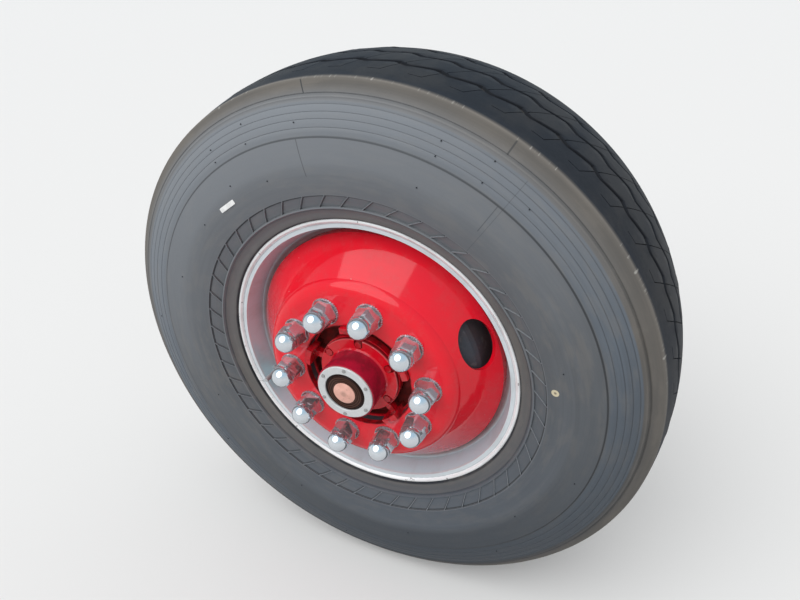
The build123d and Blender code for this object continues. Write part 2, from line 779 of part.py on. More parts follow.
export_step(brake_drum.part, "parts/brake_drum.step")

# Bearings, as plain rings in their seats
with BuildPart() as outer_bearing:
    with BuildSketch(across(outer_bearing_back)):
        Circle(outer_cup_radius)
        Circle(outer_bearing_bore / 2 + bearing_gap, mode=Mode.SUBTRACT)
    extrude(amount=outer_bearing_width)
outer_bearing.part.label = "outer_bearing"
export_step(outer_bearing.part, "parts/outer_bearing.step")

with BuildPart() as inner_bearing:
    with BuildSketch(across(inner_bearing_back)):
        Circle(inner_cup_radius)
        Circle(inner_bearing_bore / 2 + bearing_gap, mode=Mode.SUBTRACT)
    extrude(amount=inner_bearing_width)
inner_bearing.part.label = "inner_bearing"
export_step(inner_bearing.part, "parts/inner_bearing.step")

# Steering knuckle: spindle, brake flange, body and two ears on the leaning kingpin
flange_bolt_hole = spider_bolt_diameter / 2
with BuildPart() as steering_knuckle:
    with BuildSketch(kingpin_plane.offset(-ear_gap / 2 - ear_height)):
        Circle(ear_radius)
        with BuildLine():
            Polyline(
                (-ear_radius, 0),
                (-ear_radius - ear_flare, ear_root),
                (ear_radius + ear_flare, ear_root),
                (ear_radius, 0),
                close=True,
            )
        make_face()
    extrude(amount=ear_gap + 2 * ear_height)
    with BuildSketch(kingpin_plane.offset(-ear_gap / 2)):
        Circle(beam_clearance_radius)
        with Locations((0, beam_clearance_radius)):
            Rectangle(4 * beam_clearance_radius, 2 * beam_clearance_radius)
    extrude(amount=ear_gap, mode=Mode.SUBTRACT)
    split(bisect_by=across(brake_flange_back - ear_sink / 2), keep=Keep.BOTTOM)
    with BuildSketch(Plane(origin=arm_root, z_dir=(1, 0, 0))):
        Circle(arm_boss_radius)
    extrude(amount=-arm_root[0] - ear_radius + arm_boss_sink)
    with BuildSketch(across(brake_flange_back)):
        Circle(brake_flange_radius)
    extrude(amount=brake_flange_wall)
    with BuildSketch(Plane.XY):
        with BuildLine():
            Polyline(
                (0, spindle_end),
                (spindle_thread_radius - thread_chamfer, spindle_end),
                (spindle_thread_radius, spindle_end + thread_chamfer),
                (spindle_thread_radius, outer_bearing_face),
                (outer_bearing_bore / 2, outer_bearing_face),
                (outer_bearing_bore / 2, outer_bearing_back),
                (outer_bearing_bore / 2 + barrel_neck, outer_bearing_back + barrel_neck_length),
                (inner_bearing_bore / 2 - barrel_relief, inner_bearing_face - barrel_relief_length),
                (inner_bearing_bore / 2, inner_bearing_face),
                (inner_bearing_bore / 2, inner_bearing_back),
                (seal_radius, inner_bearing_back),
                (seal_radius, brake_flange_face - seal_chamfer),
                (seal_radius + seal_root, brake_flange_face),
                (seal_radius + seal_root, brake_flange_back),
                (0, brake_flange_back),
                close=True,
            )
        make_face()
    revolve(axis=Axis.Y)
    with BuildSketch(kingpin_plane.offset(-ear_gap / 2 - ear_height)):
        Circle(ear_bore_radius)
    extrude(amount=ear_gap + 2 * ear_height, mode=Mode.SUBTRACT)
    with BuildSketch(across(brake_flange_back)):
        with PolarLocations(spider_bolt_circle_radius, spider_bolt_count, start_angle=spider_bolt_angle):
            Circle(flange_bolt_hole)
    extrude(amount=brake_flange_wall, mode=Mode.SUBTRACT)
    with BuildSketch(Plane(origin=arm_root, z_dir=(1, 0, 0))):
        Circle(arm_shank_radius)
    extrude(amount=arm_shank_length, mode=Mode.SUBTRACT)
steering_knuckle.part.label = "steering_knuckle"
export_step(steering_knuckle.part, "parts/steering_knuckle.step")

# Kingpin bushings, one in each ear
with BuildPart() as kingpin_bushings:
    for level in (-ear_gap / 2 - ear_height, ear_gap / 2):
        with BuildSketch(kingpin_plane.offset(level)):
            Circle(ear_bore_radius)
            Circle(kingpin_radius, mode=Mode.SUBTRACT)
        extrude(amount=ear_height)
kingpin_bushings.part.label = "kingpin_bushings"
export_step(kingpin_bushings.part, "parts/kingpin_bushings.step")

# Spindle washer and nut
with BuildPart() as spindle_washer:
    with BuildSketch(across(outer_bearing_face)):
        Circle(spindle_washer_radius)
        Circle(spindle_thread_radius, mode=Mode.SUBTRACT)
    extrude(amount=spindle_washer_wall)
spindle_washer.part.label = "spindle_washer"
export_step(spindle_washer.part, "parts/spindle_washer.step")

with BuildPart() as spindle_nut:
    with BuildSketch(across(outer_bearing_face - spindle_washer_wall)):
        RegularPolygon(spindle_nut_across / 2 / cos(radians(30)), 6)
        Circle(spindle_thread_radius, mode=Mode.SUBTRACT)
    extrude(amount=spindle_nut_wall)
spindle_nut.part.label = "spindle_nut"
export_step(spindle_nut.part, "parts/spindle_nut.step")

# Brake spider: a ring on the brake flange, a boss for the cam and two for the anchor pins
anchor_angles = (anchor_angle - anchor_spread, anchor_angle + anchor_spread)
with BuildPart() as brake_spider:
    with BuildSketch(across(brake_flange_face)):
        Circle(spider_radius)
        with PolarLocations(cam_circle_radius, 1, start_angle=cam_angle):
            Circle(cam_boss_radius)
        with PolarLocations(cam_circle_radius / 2, 1, start_angle=cam_angle):
            Rectangle(cam_circle_radius, 2 * cam_boss_radius)
        for angle in anchor_angles:
            with PolarLocations(anchor_circle_radius, 1, start_angle=angle):
                Circle(anchor_boss_radius)
            with PolarLocations(anchor_circle_radius / 2, 1, start_angle=angle):
                Rectangle(anchor_circle_radius, 2 * anchor_boss_radius)
        Circle(spider_bore_radius, mode=Mode.SUBTRACT)
        with PolarLocations(spider_bolt_circle_radius, spider_bolt_count, start_angle=spider_bolt_angle):
            Circle(flange_bolt_hole, mode=Mode.SUBTRACT)
        with PolarLocations(cam_circle_radius, 1, start_angle=cam_angle):
            Circle(cam_shaft_radius, mode=Mode.SUBTRACT)
        for angle in anchor_angles:
            with PolarLocations(anchor_circle_radius, 1, start_angle=angle):
                Circle(anchor_pin_radius, mode=Mode.SUBTRACT)
    extrude(amount=spider_wall)
brake_spider.part.label = "brake_spider"
export_step(brake_spider.part, "parts/brake_spider.step")

# Anchor pins that the brake's shoes pivot on
with BuildPart() as anchor_pins:
    with BuildSketch(across(brake_flange_face + anchor_pin_head)):
        for angle in anchor_angles:
            with PolarLocations(anchor_circle_radius, 1, start_angle=angle):
                Circle(anchor_pin_radius)
    extrude(amount=anchor_pin_length)
anchor_pins.part.label = "anchor_pins"
export_step(anchor_pins.part, "parts/anchor_pins.step")

# Bolts that hold the spider, threaded into the knuckle's flange
spider_bolt_corner = spider_bolt_across / 2 / cos(radians(30))
with BuildPart() as spider_bolts:
    with BuildSketch(across(brake_flange_face - spider_wall)):
        with PolarLocations(spider_bolt_circle_radius, spider_bolt_count, start_angle=spider_bolt_angle):
            RegularPolygon(spider_bolt_corner, 6)
    extrude(amount=spider_bolt_head)
    with BuildSketch(across(brake_flange_face - spider_wall)):
        with PolarLocations(spider_bolt_circle_radius, spider_bolt_count, start_angle=spider_bolt_angle):
            Circle(flange_bolt_hole)
    extrude(amount=-spider_wall - brake_flange_wall)
spider_bolts.part.label = "spider_bolts"
export_step(spider_bolts.part, "parts/spider_bolts.step")

# Dust shield on the spider's inboard face, its rim turned inboard inside the drum's edge
with BuildPart() as dust_shield:
    with BuildSketch(Plane.XY):
        with BuildLine():
            Polyline(
                (brake_flange_radius + fit_gap, brake_flange_face),
                (shield_radius, brake_flange_face),
                (shield_radius, brake_flange_face + shield_lip),
                (shield_radius - shield_wall, brake_flange_face + shield_lip),
                (shield_radius - shield_wall, brake_flange_face + shield_wall),
                (brake_flange_radius + fit_gap, brake_flange_face + shield_wall),
                close=True,
            )
        make_face()
    revolve(axis=Axis.Y)
    with BuildSketch(across(brake_flange_face)):
        with PolarLocations(cam_circle_radius, 1, start_angle=cam_angle):
            Circle(cam_tube_radius)
        for angle in anchor_angles:
            with PolarLocations(anchor_circle_radius, 1, start_angle=angle):
                Circle(anchor_pin_radius + fit_gap)
    extrude(amount=-shield_wall, mode=Mode.SUBTRACT)
dust_shield.part.label = "dust_shield"
export_step(dust_shield.part, "parts/dust_shield.step")

# Cam tube from the spider to the slack adjuster
with BuildPart() as cam_tube:
    with BuildSketch(across(brake_flange_face)):
        with Locations((cam_x, cam_z)):
            Circle(cam_tube_radius)
            Circle(cam_shaft_radius, mode=Mode.SUBTRACT)
    extrude(amount=brake_flange_face - cam_tube_end)
cam_tube.part.label = "cam_tube"
export_step(cam_tube.part, "parts/cam_tube.step")

# Cam shaft with the cam's head inside the drum and a splined end for the slack adjuster
cam_head_face = brake_flange_face - spider_wall - fit_gap
with BuildPart() as cam_shaft:
    with BuildSketch(across(cam_shaft_end)):
        with Locations((cam_x, cam_z)):
            Circle(cam_shaft_radius)
    extrude(amount=cam_shaft_end - cam_head_face)
    with BuildSketch(across(cam_head_face)):
        with Locations((cam_x, cam_z)):
            Ellipse(cam_head_radius, cam_head_share * cam_head_radius, rotation=cam_angle)
    extrude(amount=cam_head_length)
cam_shaft.part.label = "cam_shaft"
export_step(cam_shaft.part, "parts/cam_shaft.step")

# Slack adjuster: the arm from the cam shaft up to the push rod's clevis
slack_face = slack_middle + slack_wall / 2
with BuildPart() as slack_adjuster:
    with BuildSketch(across(slack_face)):
        with Locations((cam_x, cam_z)):
            Circle(slack_boss_radius)
        with Locations((cam_x, clevis_z)):
            Circle(slack_lug_radius)
        make_hull()
        with Locations((cam_x, cam_z)):
            Circle(cam_shaft_radius, mode=Mode.SUBTRACT)
        with Locations((cam_x, clevis_z)):
            Circle(clevis_pin_radius, mode=Mode.SUBTRACT)
    extrude(amount=slack_wall)
slack_adjuster.part.label = "slack_adjuster"
export_step(slack_adjuster.part, "parts/slack_adjuster.step")

# Push rod with its clevis and pin
clevis_back = cam_x + clevis_length - slack_lug_radius
clevis_face = slack_middle + clevis_width / 2
with BuildPart() as push_rod:
    with BuildSketch(across(clevis_face)):
        with Locations((cam_x, clevis_z)):
            Circle(slack_lug_radius)
        with Locations(((cam_x + clevis_back) / 2, clevis_z)):
            Rectangle(clevis_back - cam_x, 2 * slack_lug_radius)
    extrude(amount=clevis_width)
    with BuildSketch(across(clevis_face - clevis_wall)):
        with Locations((cam_x, clevis_z)):
            Rectangle(2 * (slack_lug_radius + clevis_room), 3 * slack_lug_radius)
    extrude(amount=clevis_width - 2 * clevis_wall, mode=Mode.SUBTRACT)
    with BuildSketch(across(clevis_face + clevis_pin_end)):
        with Locations((cam_x, clevis_z)):
            Circle(clevis_pin_radius)
    extrude(amount=clevis_width + 2 * clevis_pin_end)
    with BuildSketch(Plane.YZ.offset(clevis_back)):
        with Locations((slack_middle, clevis_z)):
            Circle(push_rod_radius)
    extrude(amount=chamber_face_x - clevis_back + push_rod_sink)
push_rod.part.label = "push_rod"
export_step(push_rod.part, "parts/push_rod.step")

# Brake chamber: two pressed cans joined at their flanges, its axis along X
chamber_middle = chamber_face_x + chamber_depth
chamber_end = chamber_middle + chamber_depth
chamber_axis = Axis((0, slack_middle, clevis_z), (1, 0, 0))
chamber_plane = Plane(origin=(0, slack_middle, clevis_z), x_dir=(1, 0, 0), z_dir=(0, -1, 0))
with BuildPart() as brake_chamber:
    with BuildSketch(chamber_plane):
        with BuildLine():
            FilletPolyline(
                (chamber_face_x, 0),
                (chamber_face_x, chamber_radius),
                (chamber_middle - chamber_flange_half - chamber_flange_slope, chamber_radius),
                radius=chamber_corner,
            )
            Polyline(
                (chamber_middle - chamber_flange_half - chamber_flange_slope, chamber_radius),
                (chamber_middle - chamber_flange_half, chamber_flange_radius),
                (chamber_middle + chamber_flange_half, chamber_flange_radius),
                (chamber_middle + chamber_flange_half + chamber_flange_slope, chamber_radius),
            )
            FilletPolyline(
                (chamber_middle + chamber_flange_half + chamber_flange_slope, chamber_radius),
                (chamber_end - chamber_dish, chamber_radius),
                (chamber_end, port_land_radius),
                (chamber_end, 0),
                radius=chamber_corner,
            )
            Line((chamber_end, 0), (chamber_face_x, 0))
        make_face()
    revolve(axis=chamber_axis)
    with BuildSketch(Plane.YZ.offset(chamber_face_x)):
        with Locations((slack_middle, clevis_z)):
            Circle(push_rod_radius)
    extrude(amount=push_rod_sink, mode=Mode.SUBTRACT)
    with BuildSketch(Plane.YZ.offset(chamber_end)):
        with Locations((slack_middle, clevis_z + port_offset)):
            Circle(port_radius)
    extrude(amount=-port_depth, mode=Mode.SUBTRACT)
brake_chamber.part.label = "brake_chamber"
export_step(brake_chamber.part, "parts/brake_chamber.step")

# Clamp band over the chamber's two flanges
with BuildPart() as chamber_clamp:
    with BuildSketch(Plane.YZ.offset(chamber_middle - clamp_width / 2)):
        with Locations((slack_middle, clevis_z)):
            Circle(chamber_flange_radius + clamp_wall)
            Circle(chamber_flange_radius, mode=Mode.SUBTRACT)
    extrude(amount=clamp_width)
chamber_clamp.part.label = "chamber_clamp"
export_step(chamber_clamp.part, "parts/chamber_clamp.step")

# Bracket that carries the chamber on the cam tube
bracket_outboard = cam_tube_end - 2 * bracket_wall
bracket_inboard = slack_middle + bracket_plate_reach
bracket_face_x = chamber_face_x - bracket_wall
chamber_bolt_places = [(slack_middle, clevis_z + side * chamber_bolt_spread / 2) for side in (-1, 1)]
bracket_top = clevis_z + chamber_bolt_spread / 2 + bracket_head
with BuildPart() as chamber_bracket:
    with BuildSketch(across(cam_tube_end)):
        with BuildLine():
            Polyline(
                (cam_x - bracket_web_share * bracket_boss_radius, cam_z),
                (cam_x + bracket_web_share * bracket_boss_radius, cam_z - bracket_web_drop),
                (chamber_face_x, clevis_z - bracket_foot),
                (chamber_face_x, bracket_top),
                (bracket_face_x, bracket_top),
                close=True,
            )
        make_face()
        with Locations((cam_x, cam_z)):
            Circle(bracket_boss_radius)
            Circle(cam_tube_radius, mode=Mode.SUBTRACT)
    extrude(amount=bracket_wall)
    with BuildSketch(Plane.YZ.offset(bracket_face_x)):
        with Locations(((bracket_outboard + bracket_inboard) / 2, clevis_z)):
            Rectangle(bracket_inboard - bracket_outboard, 2 * (bracket_top - clevis_z))
    extrude(amount=bracket_wall)
    with BuildSketch(Plane.YZ.offset(bracket_face_x)):
        with Locations((slack_middle, clevis_z)):
            Circle(push_rod_radius + push_rod_gap)
        with Locations(*chamber_bolt_places):
            Circle(chamber_bolt_radius)
    extrude(amount=bracket_wall, mode=Mode.SUBTRACT)
chamber_bracket.part.label = "chamber_bracket"
export_step(chamber_bracket.part, "parts/chamber_bracket.step")

# Studs and nuts that hold the chamber on its bracket
with BuildPart() as chamber_bolts:
    with BuildSketch(Plane.YZ.offset(chamber_face_x)):
        with Locations(*chamber_bolt_places):
            Circle(chamber_bolt_radius)
    extrude(amount=-bracket_wall - chamber_stud_length)
    with BuildSketch(Plane.YZ.offset(bracket_face_x)):
        with Locations(*chamber_bolt_places):
            RegularPolygon(chamber_nut_radius, 6)
    extrude(amount=-chamber_nut_height)
chamber_bolts.part.label = "chamber_bolts"
export_step(chamber_bolts.part, "parts/chamber_bolts.step")

# Tie rod arm, its shank in the knuckle's rear boss and its eye inboard of the kingpin
with BuildPart() as tie_rod_arm:
    with BuildLine() as arm_path:
        FilletPolyline(arm_root, arm_knee, arm_eye, radius=arm_bend)
    with BuildSketch(Plane(origin=arm_root, z_dir=(-1, 0, 0))):
        Circle(arm_radius)
    sweep(path=arm_path.wires()[0])
    with BuildSketch(Plane(origin=arm_root, z_dir=(-1, 0, 0))):
        Circle(arm_boss_radius)
    extrude(amount=arm_collar_wall)
    with BuildSketch(Plane(origin=arm_root, z_dir=(1, 0, 0))):
        Circle(arm_shank_radius)
    extrude(amount=arm_shank_length)
    with BuildSketch(Plane.XY.offset(arm_eye[2] - arm_eye_height / 2)):
        with Locations((arm_eye[0], arm_eye[1])):
            Circle(arm_eye_radius)
    extrude(amount=arm_eye_height)
    with Locations((arm_eye[0], arm_eye[1], arm_eye[2])):
        Cone(arm_taper_bottom, arm_taper_top, arm_eye_height, mode=Mode.SUBTRACT)
tie_rod_arm.part.label = "tie_rod_arm"
export_step(tie_rod_arm.part, "parts/tie_rod_arm.step")

# Valve through the rim's wall, turned outboard at its elbow, and its cap
valve_elbow = valve_section.from_local_coords((valve_bend[0], valve_bend[1], 0))
with BuildPart() as valve_stem:
    with BuildSketch(valve_hole_plane):
        Circle(valve_hole_radius)
    extrude(amount=valve_run)
    with Locations(valve_elbow):
        Sphere(valve_hole_radius)
    with BuildSketch(across(valve_bend[1])):
        with PolarLocations(valve_bend[0], 1, start_angle=valve_angle):
            Circle(valve_tube_radius)
    extrude(amount=valve_reach)
    with BuildSketch(valve_hole_plane.offset(rim_wall + valve_inside + fit_gap)):
        RegularPolygon(valve_nut_radius, 6)
    extrude(amount=valve_nut_wall)
valve_stem.part.label = "valve_stem"
export_step(valve_stem.part, "parts/valve_stem.step")

with BuildPart() as valve_cap:
    with BuildSketch(across(valve_tip[1])):
        with PolarLocations(valve_tip[0], 1, start_angle=valve_angle):
            Circle(valve_cap_radius)
    extrude(amount=valve_cap_length, taper=valve_cap_taper)
valve_cap.part.label = "valve_cap"
export_step(valve_cap.part, "parts/valve_cap.step")
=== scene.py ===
from math import acos, atan2, cos, degrees, hypot, pi, radians, sin, sqrt

import bpy
from bpy.props import FloatProperty, FloatVectorProperty, PointerProperty
from mathutils import Matrix, Vector


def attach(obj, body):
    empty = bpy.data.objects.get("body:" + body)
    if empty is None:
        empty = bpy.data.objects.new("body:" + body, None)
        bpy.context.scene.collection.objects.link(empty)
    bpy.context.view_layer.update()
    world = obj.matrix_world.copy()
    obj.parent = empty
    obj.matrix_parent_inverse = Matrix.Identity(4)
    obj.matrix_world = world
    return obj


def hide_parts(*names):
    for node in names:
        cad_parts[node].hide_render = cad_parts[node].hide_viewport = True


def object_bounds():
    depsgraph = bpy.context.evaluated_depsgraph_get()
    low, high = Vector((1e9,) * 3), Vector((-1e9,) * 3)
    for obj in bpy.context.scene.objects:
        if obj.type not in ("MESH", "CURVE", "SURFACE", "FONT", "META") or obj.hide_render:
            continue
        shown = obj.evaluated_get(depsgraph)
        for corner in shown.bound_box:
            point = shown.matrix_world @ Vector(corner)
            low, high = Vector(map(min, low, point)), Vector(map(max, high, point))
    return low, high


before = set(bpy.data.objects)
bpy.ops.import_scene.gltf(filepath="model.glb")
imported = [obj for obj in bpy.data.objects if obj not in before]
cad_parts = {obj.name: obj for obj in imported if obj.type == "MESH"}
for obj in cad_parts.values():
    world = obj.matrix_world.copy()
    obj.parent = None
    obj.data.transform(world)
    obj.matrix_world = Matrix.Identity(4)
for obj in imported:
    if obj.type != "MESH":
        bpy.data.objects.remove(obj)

bl_info = {
    "name": "Truck front wheel end",
    "version": (1, 1, 0),
    "blender": (4, 5, 0),
    "location": "3D View > Sidebar > Wheel End",
    "description": "Dresses a fire truck's front wheel end: tyre, nut covers, hub cap and finishes",
    "category": "Object",
}

cad_low, cad_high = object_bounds()

# Lengths in mm and angles in degrees. RIM_CENTRE is the rim's middle plane along the frame's Y.
# Places across the wheel are measured from that plane, and outboard is minus
MM = 0.001
RIM_CENTRE = -62
DISC_FACE = -168
HUB_FACE = -145
STUDS = 10
STUD_RADIUS = 285.75 / 2
STUD_ANGLE = 5.2

# How near to each other points are joined, in metres
SEAM_WELD = 0.00002
WELD = 0.000001


# Sizes and colours that a user would change


class TyreSettings(bpy.types.PropertyGroup):
    """Sizes and colours of the tyre."""

    crown_radius: FloatProperty(
        name="Crown radius", description="Radius at the middle of the tread",
        default=0.5478, unit="LENGTH",
    )
    groove_depth: FloatProperty(
        name="Groove depth", description="Depth of the three zigzag grooves",
        default=0.009, unit="LENGTH",
    )
    groove_swing: FloatProperty(
        name="Groove swing", description="How far a groove moves to each side",
        default=0.0065, unit="LENGTH",
    )
    sipe_depth: FloatProperty(
        name="Sipe depth", description="Depth of the thin cuts across the ribs",
        default=0.005, unit="LENGTH",
    )
    panel_depth: FloatProperty(
        name="Panel depth", description="Depth of the panels between the slanted bars",
        default=0.0024, unit="LENGTH",
    )
    # The tread's rubber is darker than bare black rubber: its own colour with painted shade over
    # the tread
    rubber: FloatVectorProperty(
        name="Rubber", description="Rubber of the tread",
        default=(0.0095, 0.0115, 0.017), subtype="COLOR",
    )
    wall: FloatVectorProperty(
        name="Wall", description="Weathered rubber of the wall",
        default=(0.13, 0.139, 0.15), subtype="COLOR",
    )
    dust: FloatVectorProperty(
        name="Dust", description="Dry road dust on the rubber",
        default=(0.188, 0.17, 0.148), subtype="COLOR",
    )


class PaintSettings(bpy.types.PropertyGroup):
    """Colours of the painted pieces."""

    red: FloatVectorProperty(
        name="Red", description="Red enamel of the disc and hub",
        default=(0.82, 0.005, 0.02), subtype="COLOR",
    )
    silver: FloatVectorProperty(
        name="Silver", description="Silver paint of the rim",
        default=(0.64, 0.7, 0.73), subtype="COLOR",
    )
    chassis: FloatVectorProperty(
        name="Chassis", description="Black paint of the knuckle",
        default=(0.034, 0.034, 0.036), subtype="COLOR",
    )


class MetalSettings(bpy.types.PropertyGroup):
    """Colours of the bare and plated metal."""

    chrome: FloatVectorProperty(
        name="Chrome", description="Plating of the nut covers",
        default=(0.66, 0.7, 0.74), subtype="COLOR",
    )
    casting: FloatVectorProperty(
        name="Casting", description="Bare cast iron under its rust",
        default=(0.07, 0.073, 0.08), subtype="COLOR",
    )
    tooth_height: FloatProperty(
        name="Tooth height", description="Height of the toothed rim at a cover's foot",
        default=0.0026, unit="LENGTH",
    )


class TagSettings(bpy.types.PropertyGroup):
    """Sizes of the bare paper tag on the wall."""

    length: FloatProperty(
        name="Length", description="Length of the tag", default=0.04, unit="LENGTH"
    )
    width: FloatProperty(
        name="Width", description="Width of the tag", default=0.0088, unit="LENGTH"
    )
    thickness: FloatProperty(
        name="Thickness", description="Thickness of the tag", default=0.0006, unit="LENGTH"
    )


class StageSettings(bpy.types.PropertyGroup):
    """Floor and light."""

    floor: FloatVectorProperty(
        name="Floor", description="Colour of the floor",
        default=(0.76, 0.76, 0.755), subtype="COLOR",
    )
    bounce: FloatVectorProperty(
        name="Bounce", description="Colour that the floor throws back",
        default=(0.34, 0.35, 0.37), subtype="COLOR",
    )
    sky: FloatProperty(name="Sky", description="Strength of the even light", default=0.72)
    key: FloatProperty(
        name="Key", description="Strength of the wide lamp above and behind the eye", default=1.9
    )
    key_width: FloatProperty(
        name="Key width", description="Angle that the lamp fills",
        default=radians(60), subtype="ANGLE",
    )


# Small helpers for modelling with the operators


def clear_selection():
    if bpy.context.object is not None and bpy.context.object.mode != "OBJECT":
        bpy.ops.object.mode_set(mode="OBJECT")
    bpy.ops.object.select_all(action="DESELECT")


def named(body, name):
    """Names the object and its mesh."""
    body.name = name
    body.data.name = name
    return body


def turned_point(radius, across, turn=0):
    """A point in metres from its radius, place across and angle, in mm and degrees."""
    angle = radians(turn)
    return Vector((radius * cos(angle), across + RIM_CENTRE, radius * sin(angle))) * MM


def polar_of(point):
    """Radius, place across and angle of a point, in mm and degrees."""
    x, y, z = point
    return hypot(x, z) / MM, y / MM - RIM_CENTRE, degrees(atan2(z, x))


def draw_outline(name, points):
    """A closed outline in edit mode, extruded from point to point and back to the first."""
    clear_selection()
    bpy.ops.mesh.primitive_plane_add(size=MM, location=(0, 0, 0))
    body = named(bpy.context.object, name)
    bpy.ops.object.mode_set(mode="EDIT")
    bpy.ops.mesh.select_mode(type="VERT")
    bpy.ops.mesh.select_all(action="SELECT")
    bpy.ops.mesh.merge(type="CENTER")
    bpy.ops.transform.translate(value=points[0])
    for here, there in zip(points, points[1:] + points[:1]):
        bpy.ops.mesh.extrude_vertices_move(TRANSFORM_OT_translate={"value": there - here})
    bpy.ops.mesh.select_all(action="SELECT")
    bpy.ops.mesh.remove_doubles(threshold=WELD)
    return body


def axle_cylinder(name, place, **sizes):
    """A cylinder along the axle, in edit mode."""
    clear_selection()
    turn = (radians(90), 0, 0)
    bpy.ops.mesh.primitive_cylinder_add(location=place, rotation=turn, **sizes)
    body = named(bpy.context.object, name)
    bpy.ops.object.transform_apply(location=True, rotation=True, scale=True)
    bpy.ops.object.mode_set(mode="EDIT")
    return body


def pick(body, kind, test):
    """Selects and counts the points, edges or faces, of a mesh in edit mode, that pass a test."""
    bpy.ops.mesh.select_all(action="DESELECT")
    bpy.ops.mesh.select_mode(type=kind)
    bpy.ops.object.mode_set(mode="OBJECT")
    mesh = body.data
    parts = {"VERT": mesh.vertices, "EDGE": mesh.edges, "FACE": mesh.polygons}[kind]
    flags = [bool(test(part)) for part in parts]
    parts.foreach_set("select", flags)
    bpy.ops.object.mode_set(mode="EDIT")
    return sum(flags)


def sweep(angle):
    """Spins the selected outline on round the axle by one row, from the front to the top."""
    bpy.ops.mesh.spin(steps=1, angle=radians(angle), center=(0, 0, 0), axis=(0, 1, 0))


def repeat_round(count, threshold):
    """Copies one sector round the axle and joins the copies."""
    bpy.ops.mesh.select_all(action="SELECT")
    turn = radians(360 / count * (count - 1))
    bpy.ops.mesh.spin(steps=count - 1, angle=turn, center=(0, 0, 0), axis=(0, 1, 0), dupli=True)
    bpy.ops.mesh.select_all(action="SELECT")
    bpy.ops.mesh.remove_doubles(threshold=threshold)


def finish_piece(body, material, nodes=(), smooth=35):
    """Leaves edit mode and gives the wheel's piece its shading, finish, slot and body."""
    if body.mode != "OBJECT":
        bpy.ops.mesh.select_all(action="SELECT")
        bpy.ops.mesh.normals_make_consistent(inside=False)
        bpy.ops.object.mode_set(mode="OBJECT")
    clear_selection()
    body.select_set(True)
    bpy.context.view_layer.objects.active = body
    bpy.ops.object.transform_apply(location=True, rotation=True, scale=True)
    bpy.ops.object.shade_smooth_by_angle(angle=radians(smooth))
    body.data.materials.clear()
    body.data.materials.append(material)
    if nodes:
        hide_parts(*nodes)
    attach(body, "wheel")
    body.select_set(False)


# Shader maths


class Socket:
    """A node's output, so that sums on it are written as plain expressions."""

    def __init__(self, nodes, socket):
        self.nodes = nodes
        self.socket = socket

    def math(self, operation, *values):
        return self.nodes.node("ShaderNodeMath", {"operation": operation}, values)

    def __add__(self, other):
        return self.math("ADD", self, other)

    __radd__ = __add__

    def __sub__(self, other):
        return self.math("SUBTRACT", self, other)

    def __rsub__(self, other):
        return self.math("SUBTRACT", other, self)

    def __mul__(self, other):
        return self.math("MULTIPLY", self, other)

    __rmul__ = __mul__

    def __truediv__(self, other):
        return self.math("DIVIDE", self, other)

    def __rtruediv__(self, other):
        return self.math("DIVIDE", other, self)

    def __pow__(self, other):
        return self.math("POWER", self, other)

    def least(self, other):
        return self.math("MINIMUM", self, other)

    def most(self, other):
        return self.math("MAXIMUM", self, other)

    def size(self):
        return self.math("ABSOLUTE", self)

    def part(self):
        """What is left past the whole number below."""
        return self.math("FRACT", self)

    def cosine(self):
        """The cosine of an angle in degrees."""
        return self.math("COSINE", self * (pi / 180))

    def above(self, level, soft):
        """0 under the level and 1 over it, with a soft step."""
        return self.nodes.node(
            "ShaderNodeMapRange",
            {"interpolation_type": "SMOOTHSTEP"},
            {"Value": self, "From Min": level - soft, "From Max": level + soft},
        )

    def between(self, low, high, soft):
        return self.above(low, soft) * (1 - self.above(high, soft))

    def near(self, place, width):
        """1 at a place, falling to 0 at a width from it."""
        return 1 - ((self - place).size() / width).least(1) ** 2

    def limited(self):
        return self.nodes.node("ShaderNodeClamp", {}, [self, 0, 1])


class Nodes:
    """A node tree in the making."""

    def __init__(self, tree):
        self.tree = tree
        self.tree.nodes.clear()

    def node(self, kind, settings, inputs, output=0):
        """A node of that type, its settings set first, then the values or links of its sockets."""
        made = self.tree.nodes.new(kind)
        for key, value in settings.items():
            if key == "stops":
                stops = made.color_ramp.elements
                stops[0].position, stops[1].position = value[0][0], value[-1][0]
                for position, colour in value[1:-1]:
                    stops.new(position)
                for element, (position, colour) in zip(stops, value):
                    element.color = (*colour, 1)
            else:
                setattr(made, key, value)
        pairs = inputs.items() if isinstance(inputs, dict) else enumerate(inputs)
        for key, value in pairs:
            self.fill(made.inputs[key], value)
        return Socket(self, made.outputs[output])

    def fill(self, socket, value):
        """Links a socket to another, or sets it."""
        if isinstance(value, Socket):
            self.tree.links.new(value.socket, socket)
        elif isinstance(value, (tuple, list)) and len(socket.default_value) == 4:
            socket.default_value = (*value[:3], 1)
        else:
            socket.default_value = value

    def mix(self, share, first, second):
        """Two colours mixed by a share, which the node keeps between 0 and 1."""
        inputs = {0: share, 6: first, 7: second}
        return self.node("ShaderNodeMix", {"data_type": "RGBA"}, inputs, 2)

    def layers(self, colour, *coats):
        """A colour with others laid over it in turn, each by its share."""
        for share, coat in coats:
            colour = self.mix(share, colour, coat)
        return colour

    def vary(self, share, colour, low, high):
        """A colour that is made darker and lighter from place to place."""
        return self.mix(share, tint(colour, low), tint(colour, high))

    def ramp(self, value, low, high, stops):
        """Colours by the value, each stop at its place between low and high."""
        spread = [((place - low) / (high - low), colour) for place, colour in stops]
        return self.node("ShaderNodeValToRGB", {"stops": spread}, [(value - low) / (high - low)])

    def seen(self):
        """1 where the eye or a reflection looks, and 0 for light on its way."""
        rays = ("Is Camera Ray", "Is Glossy Ray", "Is Transmission Ray")
        eye, gloss, glass = (self.node("ShaderNodeLightPath", {}, {}, ray) for ray in rays)
        return eye.most(gloss).most(glass)


